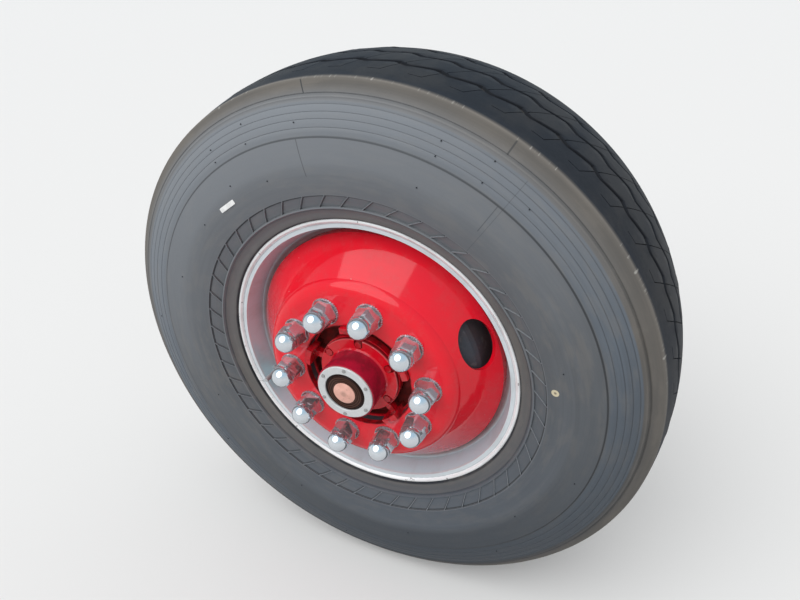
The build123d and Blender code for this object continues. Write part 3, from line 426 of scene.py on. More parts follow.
class Finish(Nodes):
    """A material in the making."""

    def __init__(self, name):
        self.material = bpy.data.materials.new(name)
        self.material.use_nodes = True
        super().__init__(self.material.node_tree)
        output = self.tree.nodes.new("ShaderNodeOutputMaterial")
        self.shader = self.tree.nodes.new("ShaderNodeBsdfPrincipled")
        self.tree.links.new(self.shader.outputs[0], output.inputs["Surface"])
        self.place = self.node("ShaderNodeTexCoord", {}, {}, "Object")
        split = self.node("ShaderNodeSeparateXYZ", {}, [self.place])
        self.axes = [Socket(self, output) for output in split.socket.node.outputs]

    def feed(self, **values):
        """Sets or links the shader's sockets, with _ for a space, and gives back the material."""
        for key, value in values.items():
            if isinstance(value, Socket) and key in ("Metallic", "Roughness", "Coat_Weight"):
                value = value.limited()
            self.fill(self.shader.inputs[key.replace("_", " ")], value)
        return self.material

    def radius(self):
        """Distance from the axle in mm."""
        x, _, z = self.axes
        return (x * x + z * z) ** 0.5 * 1000

    def across(self):
        """Place along the axle in mm, from the rim's middle plane."""
        return self.axes[1] * 1000 - RIM_CENTRE

    def angle(self):
        """Angle round the axle in degrees, 0 at the front and 90 at the top."""
        x, _, z = self.axes
        return z.math("ARCTAN2", z, x) * (180 / pi)

    def outside(self):
        """1 on the tyre's outboard wall and 0 on the rest of it."""
        return 1 - self.across().above(WALL_SIDE, 1)

    def away(self, radius, turn):
        """Distance in mm from a place on the wall, seen along the axle."""
        x, _, z = self.axes
        aside = x * 1000 - radius * cos(radians(turn))
        aloft = z * 1000 - radius * sin(radians(turn))
        return (aside * aside + aloft * aloft) ** 0.5

    def noise(self, scale, detail, rough=0.5, vector=None):
        inputs = {"Vector": vector or self.place, "Scale": scale}
        inputs.update(Detail=detail, Roughness=rough)
        return self.node("ShaderNodeTexNoise", {}, inputs, "Fac")

    def spots(self, scale, reach, where, level):
        """Small spots that gather where a broad noise is high, each limit with its soft edge."""
        inputs = {"Vector": self.place, "Scale": scale}
        cells = self.node("ShaderNodeTexVoronoi", {}, inputs, "Distance")
        return (1 - cells.above(*reach)) * self.noise(where, 2).above(*level)

    def streaks(self, around, outward, along=0):
        """Noise that runs in streaks round the axle or out from it."""
        x, y, z = self.axes
        reach = (x * x + z * z) ** 0.5
        places = [x / reach * around, reach * outward + y * along, z / reach * around]
        return self.noise(1, 4, 0.6, self.node("ShaderNodeCombineXYZ", {}, places))

    def bump(self, height, distance, strength):
        """Relief whose height is in parts of the distance, which is in metres."""
        inputs = {"Height": height, "Distance": distance, "Strength": strength}
        return self.node("ShaderNodeBump", {}, inputs, "Normal")


def tint(colour, amount):
    """A colour made lighter or darker."""
    return tuple(min(1, channel * amount) for channel in colour)


def blend_of(first, second, share):
    """A colour between two others."""
    return tuple(a + (b - a) * share for a, b in zip(first, second))


# Shape of the tyre's section, in mm, with turns in degrees and stations in parts of a pitch.
# A reach or a slack is how far off its line a point or a face may lie and still count

PITCHES = 50
PITCH = 360 / PITCHES
SIPE = 0.022
BAR = (0.58, 0.63)
STATIONS = (0, SIPE, 0.1, 0.17, 0.34, 0.46, *BAR, 0.7, 0.8, 0.9, 1)
TREAD_EDGE = 129.6
TREAD_DROP = 16.7
TREAD_FOOT = 525
RIB_ROWS = (72, 82, 91.6, 93, 99, 109, 120, 127.6)
RIB_STEPS = (15, 28.5, 42)
GROOVES = (-57, 0, 57)
GROOVE_STARTS = {-57: SIPE / 2, 0: 0.5, 57: SIPE / 2}
GROOVE_HALF = 4.5
GROOVE_RIM = 1.4
GROOVE_EDGE = 0.9
GROOVE_SLOPE = 1.3
GROOVE_TURN = 0.16
GROOVE_REACH = 6.1
COLUMN_REACH = 0.05
CUT_TURN = 72.8
CUT_LEAN = 0.0673
CUT_END = 92
CUT_PLACE = 92.3
CUT_SHARE = 0.34
CUT_REACH = 0.8
CUT_LIMIT = 93.5
CROWN_SLACK = 0.6
WALL_SLACK = 0.8
WALL_SIDE = -120
WALL_HALF = 161
WALL_END = 447.3
WALL_CURVE = 0.0018
WALL_ARC = 127.7
WALL_ARC_CENTRE = (449.3, 31.7)
WALL_ROWS = (455, 449.3, WALL_END, 440, 426, 411, 396, 381, 366, 356)
STEP_RING = 448
SHOULDER_ROWS = ((-130.9, 530), (-132.2, 528))
SHOULDER_NOTCH = 510
SHOULDER_RIDGE = 505
SHOULDER_EDGE = 531.8
FINE_LINES = (495.5, 485, 474.5, 462)
BAR_LEAN = 3.9
BAR_TOP = 349
BAR_RUN = 24
PANEL_LOW = 326.5
PANEL_HIGH = 350
PANEL_LINE = ((322.6, 139.7), (345.9, 150.6))
BEAD_LINE = ((300.4, 127.6), (305, 129), (311, 131), (317.5, 134.5), *PANEL_LINE)
BEAD_RIDGE = 324.2
BEAD_NOTCH = 320.4
LINING = (
    (-125, 298.9), (-119, 296.2), (-114.6, 291), (-114.3, 286), (-94, 280.4),
    (-98, 292), (-112, 322), (-127.5, 346), (-142, 392), (-146, 440),
    (-136, 482), (-99.6, 510), (-60, 514.5), (0, 518),
)


def wall_place(radius):
    """Place across the wheel of the outboard wall at a radius, in mm."""
    if radius > WALL_END:
        arc_radius, arc_place = WALL_ARC_CENTRE
        return -arc_place - sqrt(max(0, WALL_ARC**2 - (radius - arc_radius) ** 2))
    start, foot = BEAD_LINE[-1]
    if radius >= start:
        reach = radius - start
        slope = (WALL_HALF - foot) / (WALL_END - start) + WALL_CURVE * (WALL_END - start)
        return -(foot + slope * reach - WALL_CURVE * reach * reach)
    for (low, near), (high, far) in zip(BEAD_LINE, BEAD_LINE[1:]):
        if radius <= high:
            return -(near + (far - near) * (radius - low) / (high - low))


def crown_place(across, crown):
    """Radius of the tread at a place across it, in mm."""
    return crown - TREAD_DROP * (across / TREAD_EDGE) ** 2


def tread_turn(across):
    """How far round the cuts across the tread have moved at a place across it, in degrees."""
    return CUT_TURN - CUT_LEAN * max(-CUT_END, min(CUT_END, across))


def lean_of(radius):
    """How far the slanted bars have moved round at a radius, in degrees."""
    return BAR_LEAN * max(0, min(1, (BAR_TOP - radius) / BAR_RUN))


def mirrored(rows):
    """The rows of the other side, in the opposite order."""
    return [(-across, other) for across, other in rows[::-1]]


def tread_rows(crown, depth):
    """The tread's rows from its outboard edge to its inboard edge: place across, radius."""
    ribs = [(place, 0) for place in (*RIB_ROWS, TREAD_EDGE)]
    groove = [
        (GROOVE_HALF - GROOVE_SLOPE, depth),
        (GROOVE_HALF, GROOVE_EDGE),
        (GROOVE_HALF + GROOVE_RIM, 0),
    ]
    steps = mirrored(groove) + groove + [(step, 0) for step in RIB_STEPS]
    rows = mirrored(ribs)
    for place in GROOVES:
        rows += [(place + step, drop) for step, drop in steps]
    # Past the last groove come the outer rib's rows
    rows[-len(RIB_STEPS):] = ribs
    return [(across, crown_place(across, crown) - drop) for across, drop in rows]


def wall_rows():
    """The outboard wall's rows from the tread's edge in to the rim: place across, radius."""
    rows = [*SHOULDER_ROWS]

    def surface(*radii):
        rows.extend((wall_place(radius), radius) for radius in radii)

    def ridge(radius, rise, half):
        surface(radius + half)
        rows.append((wall_place(radius) - rise, radius + half * 0.4))
        rows.append((wall_place(radius) - rise, radius - half * 0.4))
        surface(radius - half)

    def notch(radius, depth, half):
        surface(radius + half)
        rows.append((wall_place(radius) + depth, radius))
        surface(radius - half)

    surface(521, 513.5)
    notch(SHOULDER_NOTCH, 1.3, 1.6)
    ridge(SHOULDER_RIDGE, 0.9, 2)
    surface(500.5)
    for radius in FINE_LINES:
        notch(radius, 0.5, 0.9)
    surface(*WALL_ROWS)
    surface(PANEL_HIGH, 344, 338, 332, PANEL_LOW)
    ridge(BEAD_RIDGE, 1.1, 1.8)
    notch(BEAD_NOTCH, 1.1, 1.3)
    surface(317.5, 311, 305, 300.4)
    return rows


def tyre_outline(crown, depth):
    """The tyre's whole section as turned points, its rows leaning as the cuts and bars do."""
    rows = tread_rows(crown, depth)[::-1]
    points = [(radius, across, tread_turn(across)) for across, radius in rows]
    wall = wall_rows()
    near_turn, far_turn = tread_turn(-TREAD_EDGE), tread_turn(TREAD_EDGE)
    points += [(radius, across, near_turn + lean_of(radius)) for across, radius in wall]
    lining = [*LINING, *mirrored(LINING[:-1])]
    start, end = near_turn + BAR_LEAN, far_turn - BAR_LEAN
    for index, (across, radius) in enumerate(lining):
        points.append((radius, across, start + (end - start) * index / (len(lining) - 1)))
    points += [(radius, across, far_turn - lean_of(radius)) for across, radius in mirrored(wall)]
    return [turned_point(*point) for point in points]


def swing_at(share, start):
    """A groove's sideways place through one pitch: a long drift one way and a short one back."""
    share = (share - start) % 1
    if share < GROOVE_TURN:
        return share / GROOVE_TURN
    if share < 1 - GROOVE_TURN:
        return 1 - 2 * (share - GROOVE_TURN) / (1 - 2 * GROOVE_TURN)
    return -1 + (share - 1 + GROOVE_TURN) / GROOVE_TURN


# Finishes. Places are in mm, or for the dot and the nicks a radius and an angle. Noises go
# from 0 to 1 round 0.5, and colours are linear

# LIGHT_TURN is the angle round the axle, near the top, from which painted light falls on the wall;
# WALL_SHADE and BEAD_SHADE are its painted shade
LIGHT_TURN = 112
RAMP_ENDS = (295, 545)
BAND_BLUE = (0.115, 0.16, 0.215)
WALL_SHADE = (0.036, 0.044, 0.054)
BEAD_SHADE = (0.05, 0.066, 0.088)
DOT = (365.2, 9.7)
DOT_PAINT = (0.62, 0.55, 0.38)
DOT_MIDDLE = (0.3, 0.25, 0.17)
# GUTTER_SKY is sky colour painted into the rim's gutter as a reflection
GUTTER_SKY = (0.42, 0.8, 0.9)
BRIGHT_LIP = (0.84, 0.85, 0.855)
RUST_DARK = (0.1, 0.04, 0.016)
RUST_LIGHT = (0.24, 0.105, 0.045)
NICKS = ((531, 33), (531, 17), (529, 118), (530, 163))


def rubber_finish(settings):
    """Worn rubber: a dark tread with dusty grooves, tan shoulder, ringed band, wall and bead, with
    painted light and shade over the wall, its rings and its cuts.
    """
    finish = Finish("tyre_rubber")
    rubber, wall, dust = tuple(settings.rubber), tuple(settings.wall), tuple(settings.dust)
    radius, across, angle = finish.radius(), finish.across(), finish.angle()
    grain = finish.noise(150, 4, 0.6)
    fine = finish.noise(900, 2, 0.6)
    patch = finish.noise(7, 4, 0.55)
    streak, scuff = finish.streaks(1.6, 190), finish.streaks(7, 60)
    band = blend_of(wall, BAND_BLUE, 0.42)
    bead = blend_of(tint(wall, 0.95), tint(dust, 0.9), 0.7)
    # Ring colours of the section. Some stops are painted light: shade in the bead notch, along the
    # top of the panels, in the step ring and in the shoulder notch, and highlights on the bead
    # ridge and on the panels' lower edge
    stops = (
        (296, rubber, 0.5), (300.2, rubber, 0.6), (302.5, bead, 1), (318.5, bead, 1),
        (BEAD_NOTCH, wall, 0.34), (322.2, wall, 0.9), (BEAD_RIDGE, wall, 1.5),
        (326, wall, 1.2), (327, wall, 0.94), (347, wall, 1), (351.5, wall, 0.88),
        (384, wall, 0.98), (404, wall, 1.02), (438, wall, 1.02), (446.5, wall, 0.95),
        (STEP_RING, wall, 0.22), (449.8, wall, 1.02), (453, band, 1), (499, band, 1),
        (501, dust, 0.78), (506.5, dust, 0.9), (508, dust, 0.5), (510.3, dust, 0.4),
        (512.5, dust, 0.82), (527.5, dust, 0.78), (530.2, dust, 0.95), (531.6, dust, 1.25),
        (532.6, rubber, 1.35), (536, rubber, 1),
    )
    rings = [(place, tint(colour, amount)) for place, colour, amount in stops]
    # The fine rings' grooves, darkened below as painted shade
    lines = radius.near(FINE_LINES[0], 1)
    for place in FINE_LINES[1:]:
        lines = lines.most(radius.near(place, 1))
    crown = settings.crown_radius / MM - across * across * (TREAD_DROP / TREAD_EDGE / TREAD_EDGE)
    tread = radius.above(SHOULDER_EDGE, 0.6)
    sunk = (crown - radius) * tread
    floor = finish.mix(grain.above(0.48, 0.12), tint(rubber, 1.5), tint(dust, 0.62))
    worn = tread * (1 - sunk.above(0.6, 0.4)) * scuff.above(0.52, 0.14)
    shade = streak.above(0.5, 0.3) * 0.26 + patch.above(0.5, 0.25) * 0.2 + fine * 0.08
    film = scuff.above(0.56, 0.12) * (1 - tread)
    outside = finish.outside()
    # Painted light and shade: the outboard wall's bands are made lighter towards the top and darker
    # towards the bottom, as if lit from above
    light_facing = (angle - LIGHT_TURN).cosine()
    lit = light_facing * radius.between(396, 512, 14) * outside
    inner = light_facing * radius.between(303, 396, 10) * outside
    colour = finish.layers(
        finish.ramp(radius, *RAMP_ENDS, rings),
        # Painted shade in the fine rings' grooves
        (lines * 0.58, tint(wall, 0.34)),
        # Painted shade in the thin cuts and down the grooves' sides
        (sunk.between(0.8, 5, 0.5) * 0.5, tint(rubber, 0.55)),
        (sunk.above(6, 2), floor),
        (worn * 0.2, tint(dust, 0.4)),
        (shade * (1 - tread), tint(wall, 0.45)),
        (film * 0.24, tint(dust, 1.1)),
        # Painted light and shade on the wall's outer band
        (lit * 0.76, tint(wall, 1.75)),
        (lit * -0.84, WALL_SHADE),
        # Painted shade along the step ring
        (radius.near(STEP_RING, 1.9) * outside * 0.8, tint(wall, 0.24)),
        # Painted light and shade on the wall's inner band
        (inner * 0.34, tint(wall, 2)),
        (inner * -0.5, BEAD_SHADE),
        *wall_marks(radius, angle, outside, wall),
    )
    chips = finish.streaks(150, 0).above(0.6, 0.05) * patch.above(0.5, 0.06)
    colour = finish.mix(radius.near(531.4, 1.6) * chips * 0.6, colour, (0.46, 0.45, 0.42))
    for reach, turn in NICKS:
        nick = (1 - finish.away(reach, turn).above(2, 1.2)) * outside
        colour = finish.mix(nick * grain.above(0.44, 0.06) * 0.8, colour, (0.42, 0.41, 0.38))
    dot = finish.away(*DOT)
    colour = finish.layers(
        colour,
        (dot.between(2.2, 6.6, 0.5) * outside, DOT_PAINT),
        ((1 - dot.above(2.2, 0.5)) * outside * 0.8, DOT_MIDDLE),
    )
    height = grain * 0.45 + fine * 0.25 + patch * 0.6 - lines * 0.5
    gloss = radius.between(322, 500, 3)
    return finish.feed(
        Base_Color=colour,
        Roughness=0.78 + grain * 0.14 - gloss * 0.24 - tread * 0.1,
        Specular_IOR_Level=0.34,
        Normal=finish.bump(height, 0.0008, 0.5),
    )


def wall_marks(radius, angle, outside, wall):
    """Coats for the mould's seams, the cracks in the shoulder, and painted shadows and highlights
    at the edges of the panels between the slanted bars.
    """
    seams = (
        (angle.near(56.5, 0.14), 395, 447, 1),
        (angle.near(55.4, 0.1), 352, 500, 0.7),
        (angle.near(100.8, 0.16), 385, 447, 1),
        (angle.near(-121, 0.14), 392, 447, 0.8),
        (angle.near(60.5, 0.2), 510, 530, 1.3),
        ((angle - (radius - 520) * 0.05).near(98.5, 0.16), 511, 530, 1.8),
    )
    coats = [
        (line * radius.between(low, high, 1) * outside * (0.55 * weight), tint(wall, 0.3))
        for line, low, high, weight in seams
    ]
    lean = ((BAR_TOP - radius) / BAR_RUN).limited() * BAR_LEAN
    turn = ((angle + (720 - tread_turn(-TREAD_EDGE)) - lean) / PITCH).part()
    panel = radius.between(PANEL_LOW, PANEL_HIGH, 0.5) * outside
    beside = 1 - turn.between(*BAR, 0.01)
    # Painted shadow at each panel's side and top, and painted highlight on each bar's edge and just
    # above the panels
    return coats + [
        (turn.near(BAR[0] - 0.018, 0.03) * panel * 0.8, tint(wall, 0.22)),
        (turn.near(BAR[1] - 0.006, 0.03) * panel * 0.85, tint(wall, 1.7)),
        (radius.near(PANEL_HIGH - 0.6, 1.8) * beside * outside * 0.88, tint(wall, 0.2)),
        (radius.near(PANEL_HIGH + 0.9, 1.3) * outside * 0.4, tint(wall, 1.6)),
    ]


def enamel_finish(name, colour, dirt=0.12, worn=None):
    """Gloss enamel with a clear top: faint spray rings, orange peel, a few chips and road film."""
    finish = Finish(name)
    peel = finish.noise(220, 2, 0.4)
    broad = finish.noise(5, 3, 0.5)
    rings = finish.streaks(2, 90, 30)
    chip = finish.spots(60, (0.055, 0.02), 9, (0.6, 0.03))
    film = finish.noise(22, 5, 0.7).above(0.56, 0.12) * dirt
    shade = finish.layers(
        finish.vary(broad.above(0.5, 0.3), colour, 0.93, 1.05),
        (rings.above(0.5, 0.3) * 0.1, tint(colour, 0.72)),
        (film, (0.3, 0.12, 0.11)),
    )
    dull = film
    if worn is not None:
        # The hub's and cap's shares hold painted shade as well as dirt
        coats, darkened = worn(finish)
        shade = finish.layers(shade, *coats)
        dull = (film + darkened).limited()
    return finish.feed(
        Base_Color=finish.mix(chip * 0.8, shade, (0.62, 0.4, 0.38)),
        Roughness=0.24 + dull * 0.5 + chip * 0.3,
        Specular_IOR_Level=0.06,
        Coat_Weight=0.95 - dull * 0.95 - chip * 0.8,
        Coat_Roughness=0.06,
        Coat_IOR=1.38,
        Normal=finish.bump(peel * 0.3 - chip * 0.8, 0.0004, 0.3),
    )


# What lies over a piece's enamel: coats, each a share and a colour, and how dark and dull it is,
# from dirt and, on the hub and cap, from painted shade too


def disc_wear(finish):
    """Darker paint right round the bore and in the seam against the rim."""
    radius, across = finish.radius(), finish.across()
    soot = finish.noise(60, 4, 0.6).above(0.4, 0.2)
    bore = (1 - radius.above(112, 1.4)) * 0.85
    seam = radius.above(266, 2) * across.above(-92, 4)
    darkened = (bore * soot + seam * 0.55).limited()
    return [(darkened, (0.045, 0.01, 0.01))], darkened


def hub_wear(finish):
    """Old grease and brown dirt down in the ring cast into the hub's face, with painted shade deep
    in that ring too.
    """
    radius, across = finish.radius(), finish.across()
    blotch = finish.noise(55, 4, 0.65)
    deep = across.above(HUB_FACE + 3, 2.5) * radius.between(76, 108, 1)
    # Painted shade and grease deep in the ring
    soiled_and_shaded = (deep * (0.4 + blotch)).limited()
    stain = radius.between(80, 112, 1) * blotch.above(0.54, 0.1) * 0.6
    return [(soiled_and_shaded, (0.06, 0.018, 0.014)), (stain, (0.11, 0.012, 0.014))], soiled_and_shaded


def cap_wear(finish):
    """The cap's barrel: older, darker paint with oil stains; painted shade on the flange round the
    bolts' notches and a painted highlight along its edge.
    """
    radius, across = finish.radius(), finish.across()
    barrel = (1 - radius.above(61, 1.6)) * (1 - across.above(-166.5, 2))
    stain = barrel * finish.noise(38, 5, 0.68).above(0.52, 0.09)
    # Painted shade on the flange round the bolts, and a painted highlight along the flange's edge
    notch = radius.between(60, 81, 1) * across.above(-163, 0.6)
    edge = radius.near(79.5, 1.2) * (1 - across.above(-161, 1))
    coats = [
        (barrel, (0.44, 0.01, 0.036)),
        (stain * 0.55, (0.15, 0.012, 0.02)),
        (notch * 0.6, (0.09, 0.008, 0.012)),
        (edge * 0.5, (0.8, 0.2, 0.2)),
    ]
    return coats, (notch * 0.5 + barrel * 0.25).limited()


def silver_finish(settings):
    """Silver wheel paint, tinted blue in the gutter as a painted sky reflection, bright on the lip,
    with painted shade in the lip's groove and against the tyre, and dirt at the disc.
    """
    finish = Finish("rim_silver")
    silver = tuple(settings.silver)
    radius, across = finish.radius(), finish.across()
    flake = finish.noise(1500, 2, 0.7)
    spot = finish.noise(45, 4, 0.65)
    grime = finish.streaks(5, 40, 20)
    aside = across.size()
    lip = radius.above(289.5, 1) * aside.above(118, 1.5)
    # Painted reflection of the sky in the gutter
    sky_reflection = finish.vary(flake, blend_of(silver, GUTTER_SKY, 0.55), 0.94, 1.05)
    gutter = radius.between(262, 284, 3) * across.between(-118, -78, 3)
    # Painted shade in the lip's groove and where the lip meets the tyre
    groove = (radius.near(288.6, 0.8) * 0.35).most(radius.above(299.4, 0.6))
    chip = lip * finish.noise(110, 3, 0.6).above(0.68, 0.03)
    seam = (1 - radius.above(268, 2.5)) * across.between(-92, -70, 3)
    rust = (1 - aside.above(60, 30)) * spot.above(0.5, 0.1)
    colour = finish.layers(
        finish.vary(flake, silver, 0.94, 1.05),
        (gutter, sky_reflection),
        (lip, BRIGHT_LIP),
        (grime.above(0.58, 0.12) * 0.22, (0.3, 0.28, 0.26)),
        (groove * aside.above(112, 2) * 0.85, (0.05, 0.05, 0.05)),
        (chip * 0.7, (0.12, 0.11, 0.11)),
        (seam * 0.5, (0.09, 0.06, 0.06)),
        (rust * 0.6, (0.16, 0.07, 0.03)),
    )
    return finish.feed(
        Base_Color=colour,
        Metallic=0.15 - rust * 0.15,
        Roughness=0.3 + spot * 0.08 + grime.above(0.5, 0.2) * 0.1 + rust * 0.3,
        Coat_Weight=0.2 - rust * 0.2,
        Coat_Roughness=0.15,
        Normal=finish.bump(spot * 0.5 + flake * 0.1, 0.0004, 0.25),
    )


def chrome_finish(settings):
    """Bright plating with faint swirls, a few pits and a little dirt at the foot."""
    finish = Finish("cover_chrome")
    swirl = finish.noise(90, 3, 0.6)
    pit = finish.spots(330, (0.12, 0.04), 60, (0.56, 0.04))
    foot = finish.across().above(DISC_FACE - 6, 5)
    foot = foot * finish.noise(160, 3, 0.6).above(0.5, 0.12)
    colour = finish.vary(swirl.above(0.5, 0.3), tuple(settings.chrome), 0.93, 1)
    return finish.feed(
        Base_Color=finish.mix(pit * 0.6 + foot * 0.5, colour, (0.16, 0.1, 0.09)),
        Metallic=0.84 - pit * 0.4 - foot * 0.3,
        Roughness=0.07 + swirl.above(0.55, 0.2) * 0.06 + pit * 0.3 + foot * 0.3,
        Normal=finish.bump(swirl * 0.4 - pit, 0.0002, 0.25),
    )


def metal_finish(name, colour, rough, metallic, rust, grain):
    """Bare or plated metal with tool marks, dull patches and rust or tarnish."""
    finish = Finish(name)
    marks = finish.noise(grain, 3, 0.6)
    patch = finish.noise(26, 5, 0.65)
    spread = finish.noise(8, 4, 0.6)
    stain = patch.above(0.6 - rust * 0.25, 0.1) * spread.above(0.42, 0.12) * rust * 1.6
    stain = stain.limited()
    shade = finish.vary(marks, colour, 0.82, 1.12)
    return finish.feed(
        Base_Color=finish.mix(stain, shade, finish.mix(marks, RUST_DARK, RUST_LIGHT)),
        Metallic=metallic - stain * metallic * 0.9,
        Roughness=rough + marks * 0.16 + stain * 0.45,
        Normal=finish.bump(marks * 0.4 + patch * 0.8 + stain * 0.6, 0.0004, 0.5),
    )


def casting_finish(name, colour, rust=0.5):
    """Sand-cast iron with a coarse skin, surface rust and dust."""
    finish = Finish(name)
    skin = finish.noise(190, 5, 0.65)
    coarse = finish.noise(45, 3, 0.6)
    patch = finish.noise(14, 5, 0.6)
    shade = finish.layers(
        finish.vary(skin, colour, 0.7, 1.35),
        (patch.above(0.52, 0.1) * rust, (0.15, 0.065, 0.03)),
        (coarse.above(0.62, 0.05) * 0.3, (0.2, 0.2, 0.2)),
    )
    return finish.feed(
        Base_Color=shade,
        Metallic=0.2,
        Roughness=0.64 + skin * 0.2,
        Normal=finish.bump(skin * 0.6 + coarse * 0.9, 0.0012, 0.6),
    )


def chassis_finish(settings):
    """Satin black chassis paint, chipped and dusty."""
    finish = Finish("chassis_black")
    skin = finish.noise(150, 4, 0.6)
    patch = finish.noise(11, 5, 0.6)
    chip = finish.spots(85, (0.13, 0.04), 12, (0.56, 0.04))
    dust = patch.above(0.5, 0.12) * (0.5 + skin)
    shade = finish.mix(dust * 0.55, tuple(settings.chassis), (0.17, 0.15, 0.13))
    return finish.feed(
        Base_Color=finish.mix(chip * 0.9, shade, (0.2, 0.085, 0.04)),
        Roughness=0.42 + dust * 0.28 + skin * 0.08 + chip * 0.2,
        Coat_Weight=0.25 - dust * 0.25,
        Coat_Roughness=0.25,
        Normal=finish.bump(skin * 0.6 + patch * 0.6 - chip * 0.8, 0.0008, 0.5),
    )


def window_finish():
    """Clear plastic stained dark brown by the oil behind it, with lighter moulded rings."""
    finish = Finish("window_plastic")
    radius = finish.radius()
    stain = finish.noise(45, 4, 0.6)
    scratch = finish.streaks(40, 900)
    rings = radius.near(24, 1.2).most(radius.near(28.2, 1.3)).most(radius.near(32.2, 1.3))
    colour = finish.layers(
        finish.mix(stain, (0.012, 0.0045, 0.0035), (0.04, 0.014, 0.01)),
        (rings * 0.7, (0.11, 0.05, 0.033)),
        (radius.above(36.5, 0.8) * 0.7, (0.016, 0.01, 0.009)),
    )
    return finish.feed(
        Base_Color=colour,
        Roughness=0.32 + scratch.above(0.6, 0.1) * 0.15,
        Specular_IOR_Level=0.16,
        Normal=finish.bump(scratch * 0.4 + stain, 0.0003, 0.25),
    )


def plug_finish():
    """Pale pink soft rubber with a grey mark in the middle."""
    finish = Finish("plug_rubber")
    bloom = finish.noise(60, 4, 0.6)
    grain = finish.noise(500, 3, 0.6)
    mark = ((1 - finish.radius().above(5.5, 3.5)) * (0.35 + bloom * 0.8)).limited()
    speck = finish.noise(160, 2).above(0.68, 0.04)
    colour = finish.layers(
        finish.mix(bloom.above(0.5, 0.2), (0.7, 0.36, 0.28), (0.84, 0.47, 0.38)),
        (mark * 0.7, (0.3, 0.17, 0.13)),
        (speck * 0.4, (0.32, 0.15, 0.12)),
    )
    return finish.feed(
        Base_Color=colour,
        Roughness=0.5 + grain * 0.2,
        Normal=finish.bump(grain * 0.5 + bloom, 0.0004, 0.4),
    )


def tag_finish():
    """Bare off-white paper tag, greyed at its edges and creased by the rubber under it."""
    finish = Finish("tag_paper")
    crease = finish.noise(260, 3, 0.6)
    grime = finish.noise(90, 4, 0.6).above(0.52, 0.14) * 0.35
    return finish.feed(
        Base_Color=finish.mix(grime, (0.93, 0.93, 0.91), (0.55, 0.55, 0.54)),
        Roughness=0.55 + crease * 0.2,
        Normal=finish.bump(crease, 0.0003, 0.4),
    )


def vent_finish(settings):
    """Plain dark rubber of the vent stubs."""
    finish = Finish("vent_rubber")
    wear = finish.noise(600, 3, 0.6)
    return finish.feed(
        Base_Color=finish.vary(wear, tuple(settings.rubber), 0.7, 1.6),
        Roughness=0.6 + wear * 0.2,
        Normal=finish.bump(wear, 0.0002, 0.4),
    )


def floor_finish(settings):
    """A plain pale floor, which throws back less light than it shows."""
    finish = Finish("stage_floor")
    return finish.feed(
        Base_Color=finish.mix(finish.seen(), tuple(settings.bounce), tuple(settings.floor)),
        Roughness=0.9,
        Specular_IOR_Level=0.2,
    )


# Pieces


class WHEELEND_OT_tyre(bpy.types.Operator):
    """Builds the tyre with its zigzag grooves, thin cuts, wall rings and slanted bars"""

    bl_idname = "wheelend.tyre"
    bl_label = "Build the tyre"

    def execute(self, context):
        settings = context.scene.wheelend_tyre
        crown = settings.crown_radius / MM
        outline = tyre_outline(crown, settings.groove_depth / MM)
        body = draw_outline("tyre_casing", outline)
        bpy.ops.mesh.select_all(action="SELECT")
        for start, end in zip(STATIONS, STATIONS[1:]):
            sweep((end - start) * PITCH)
        self.swing_grooves(body, settings.groove_swing)
        repeat_round(PITCHES, SEAM_WELD)
        bpy.ops.mesh.normals_make_consistent(inside=False)
        self.cut_sipes(body, crown, settings.sipe_depth)
        self.sink_panels(body, settings.panel_depth)
        finish_piece(body, rubber_finish(settings), ("tyre",), smooth=32)
        return {"FINISHED"}

    def swing_grooves(self, body, swing):
        """Moves the grooves' rows aside from station to station."""
        for station in STATIONS:
            for place in GROOVES:
                offset = swing_at(station, GROOVE_STARTS[place]) * swing
                if abs(offset) < WELD * MM:
                    continue

                def in_column(v, place=place, station=station):
                    radius, across, turn = polar_of(v.co)
                    if radius < TREAD_FOOT or abs(across - place) > GROOVE_REACH:
                        return False
                    return abs(turn - tread_turn(across) - station * PITCH) < COLUMN_REACH

                if pick(body, "VERT", in_column):
                    bpy.ops.transform.translate(value=(0, offset, 0))

    def cut_sipes(self, body, crown, depth):
        """Sinks the thin cuts across the ribs and the short one along each shoulder."""

        def is_cut(face):
            radius, across, turn = polar_of(face.center)
            if radius < crown_place(across, crown) - CROWN_SLACK or abs(across) > CUT_LIMIT:
                return False
            share = (turn - tread_turn(across)) % PITCH / PITCH
            by_shoulder = abs(abs(across) - CUT_PLACE) < CUT_REACH
            return share < SIPE or (by_shoulder and share < CUT_SHARE)

        self.sink(body, is_cut, depth)

    def sink_panels(self, body, depth):
        """Sinks the panels between the slanted bars, on both walls."""

        def is_panel(face):
            radius, across, turn = polar_of(face.center)
            if not PANEL_LOW < radius < PANEL_HIGH:
                return False
            if abs(across) < -wall_place(radius) - WALL_SLACK:
                return False
            side = -1 if across < 0 else 1
            base = tread_turn(TREAD_EDGE * side) - side * lean_of(radius)
            share = (turn - base) % PITCH / PITCH
            return not BAR[0] < share < BAR[1]

        self.sink(body, is_panel, depth)

    def sink(self, body, test, depth):
        """Sinks the faces that pass the test."""
        if not pick(body, "FACE", test):
            raise RuntimeError("no faces to sink in the tyre")
        bpy.ops.mesh.extrude_region_shrink_fatten(TRANSFORM_OT_shrink_fatten={"value": -depth})


# Radius in mm and angle in degrees of each vent stub, and a stub's own sizes in metres
VENTS = (
    (484, 71), (495.5, 61.5), (461, 71), (461.5, 61.3), (474, 52),
    (479, 123), (458, 123.5), (490, 113), (459, 113.5), (472, 100.5),
    (412, 123.5), (391, 112.5), (398, 139.5), (384, 16), (404, 72.5),
    (430, -16), (402, -38), (466, -52), (412, -77), (483, -98),
    (404, -115), (470, -141), (396, -156), (478, 178), (409, 161),
)
VENT_SIZES = {"vertices": 10, "radius": 0.0011, "depth": 0.0026}


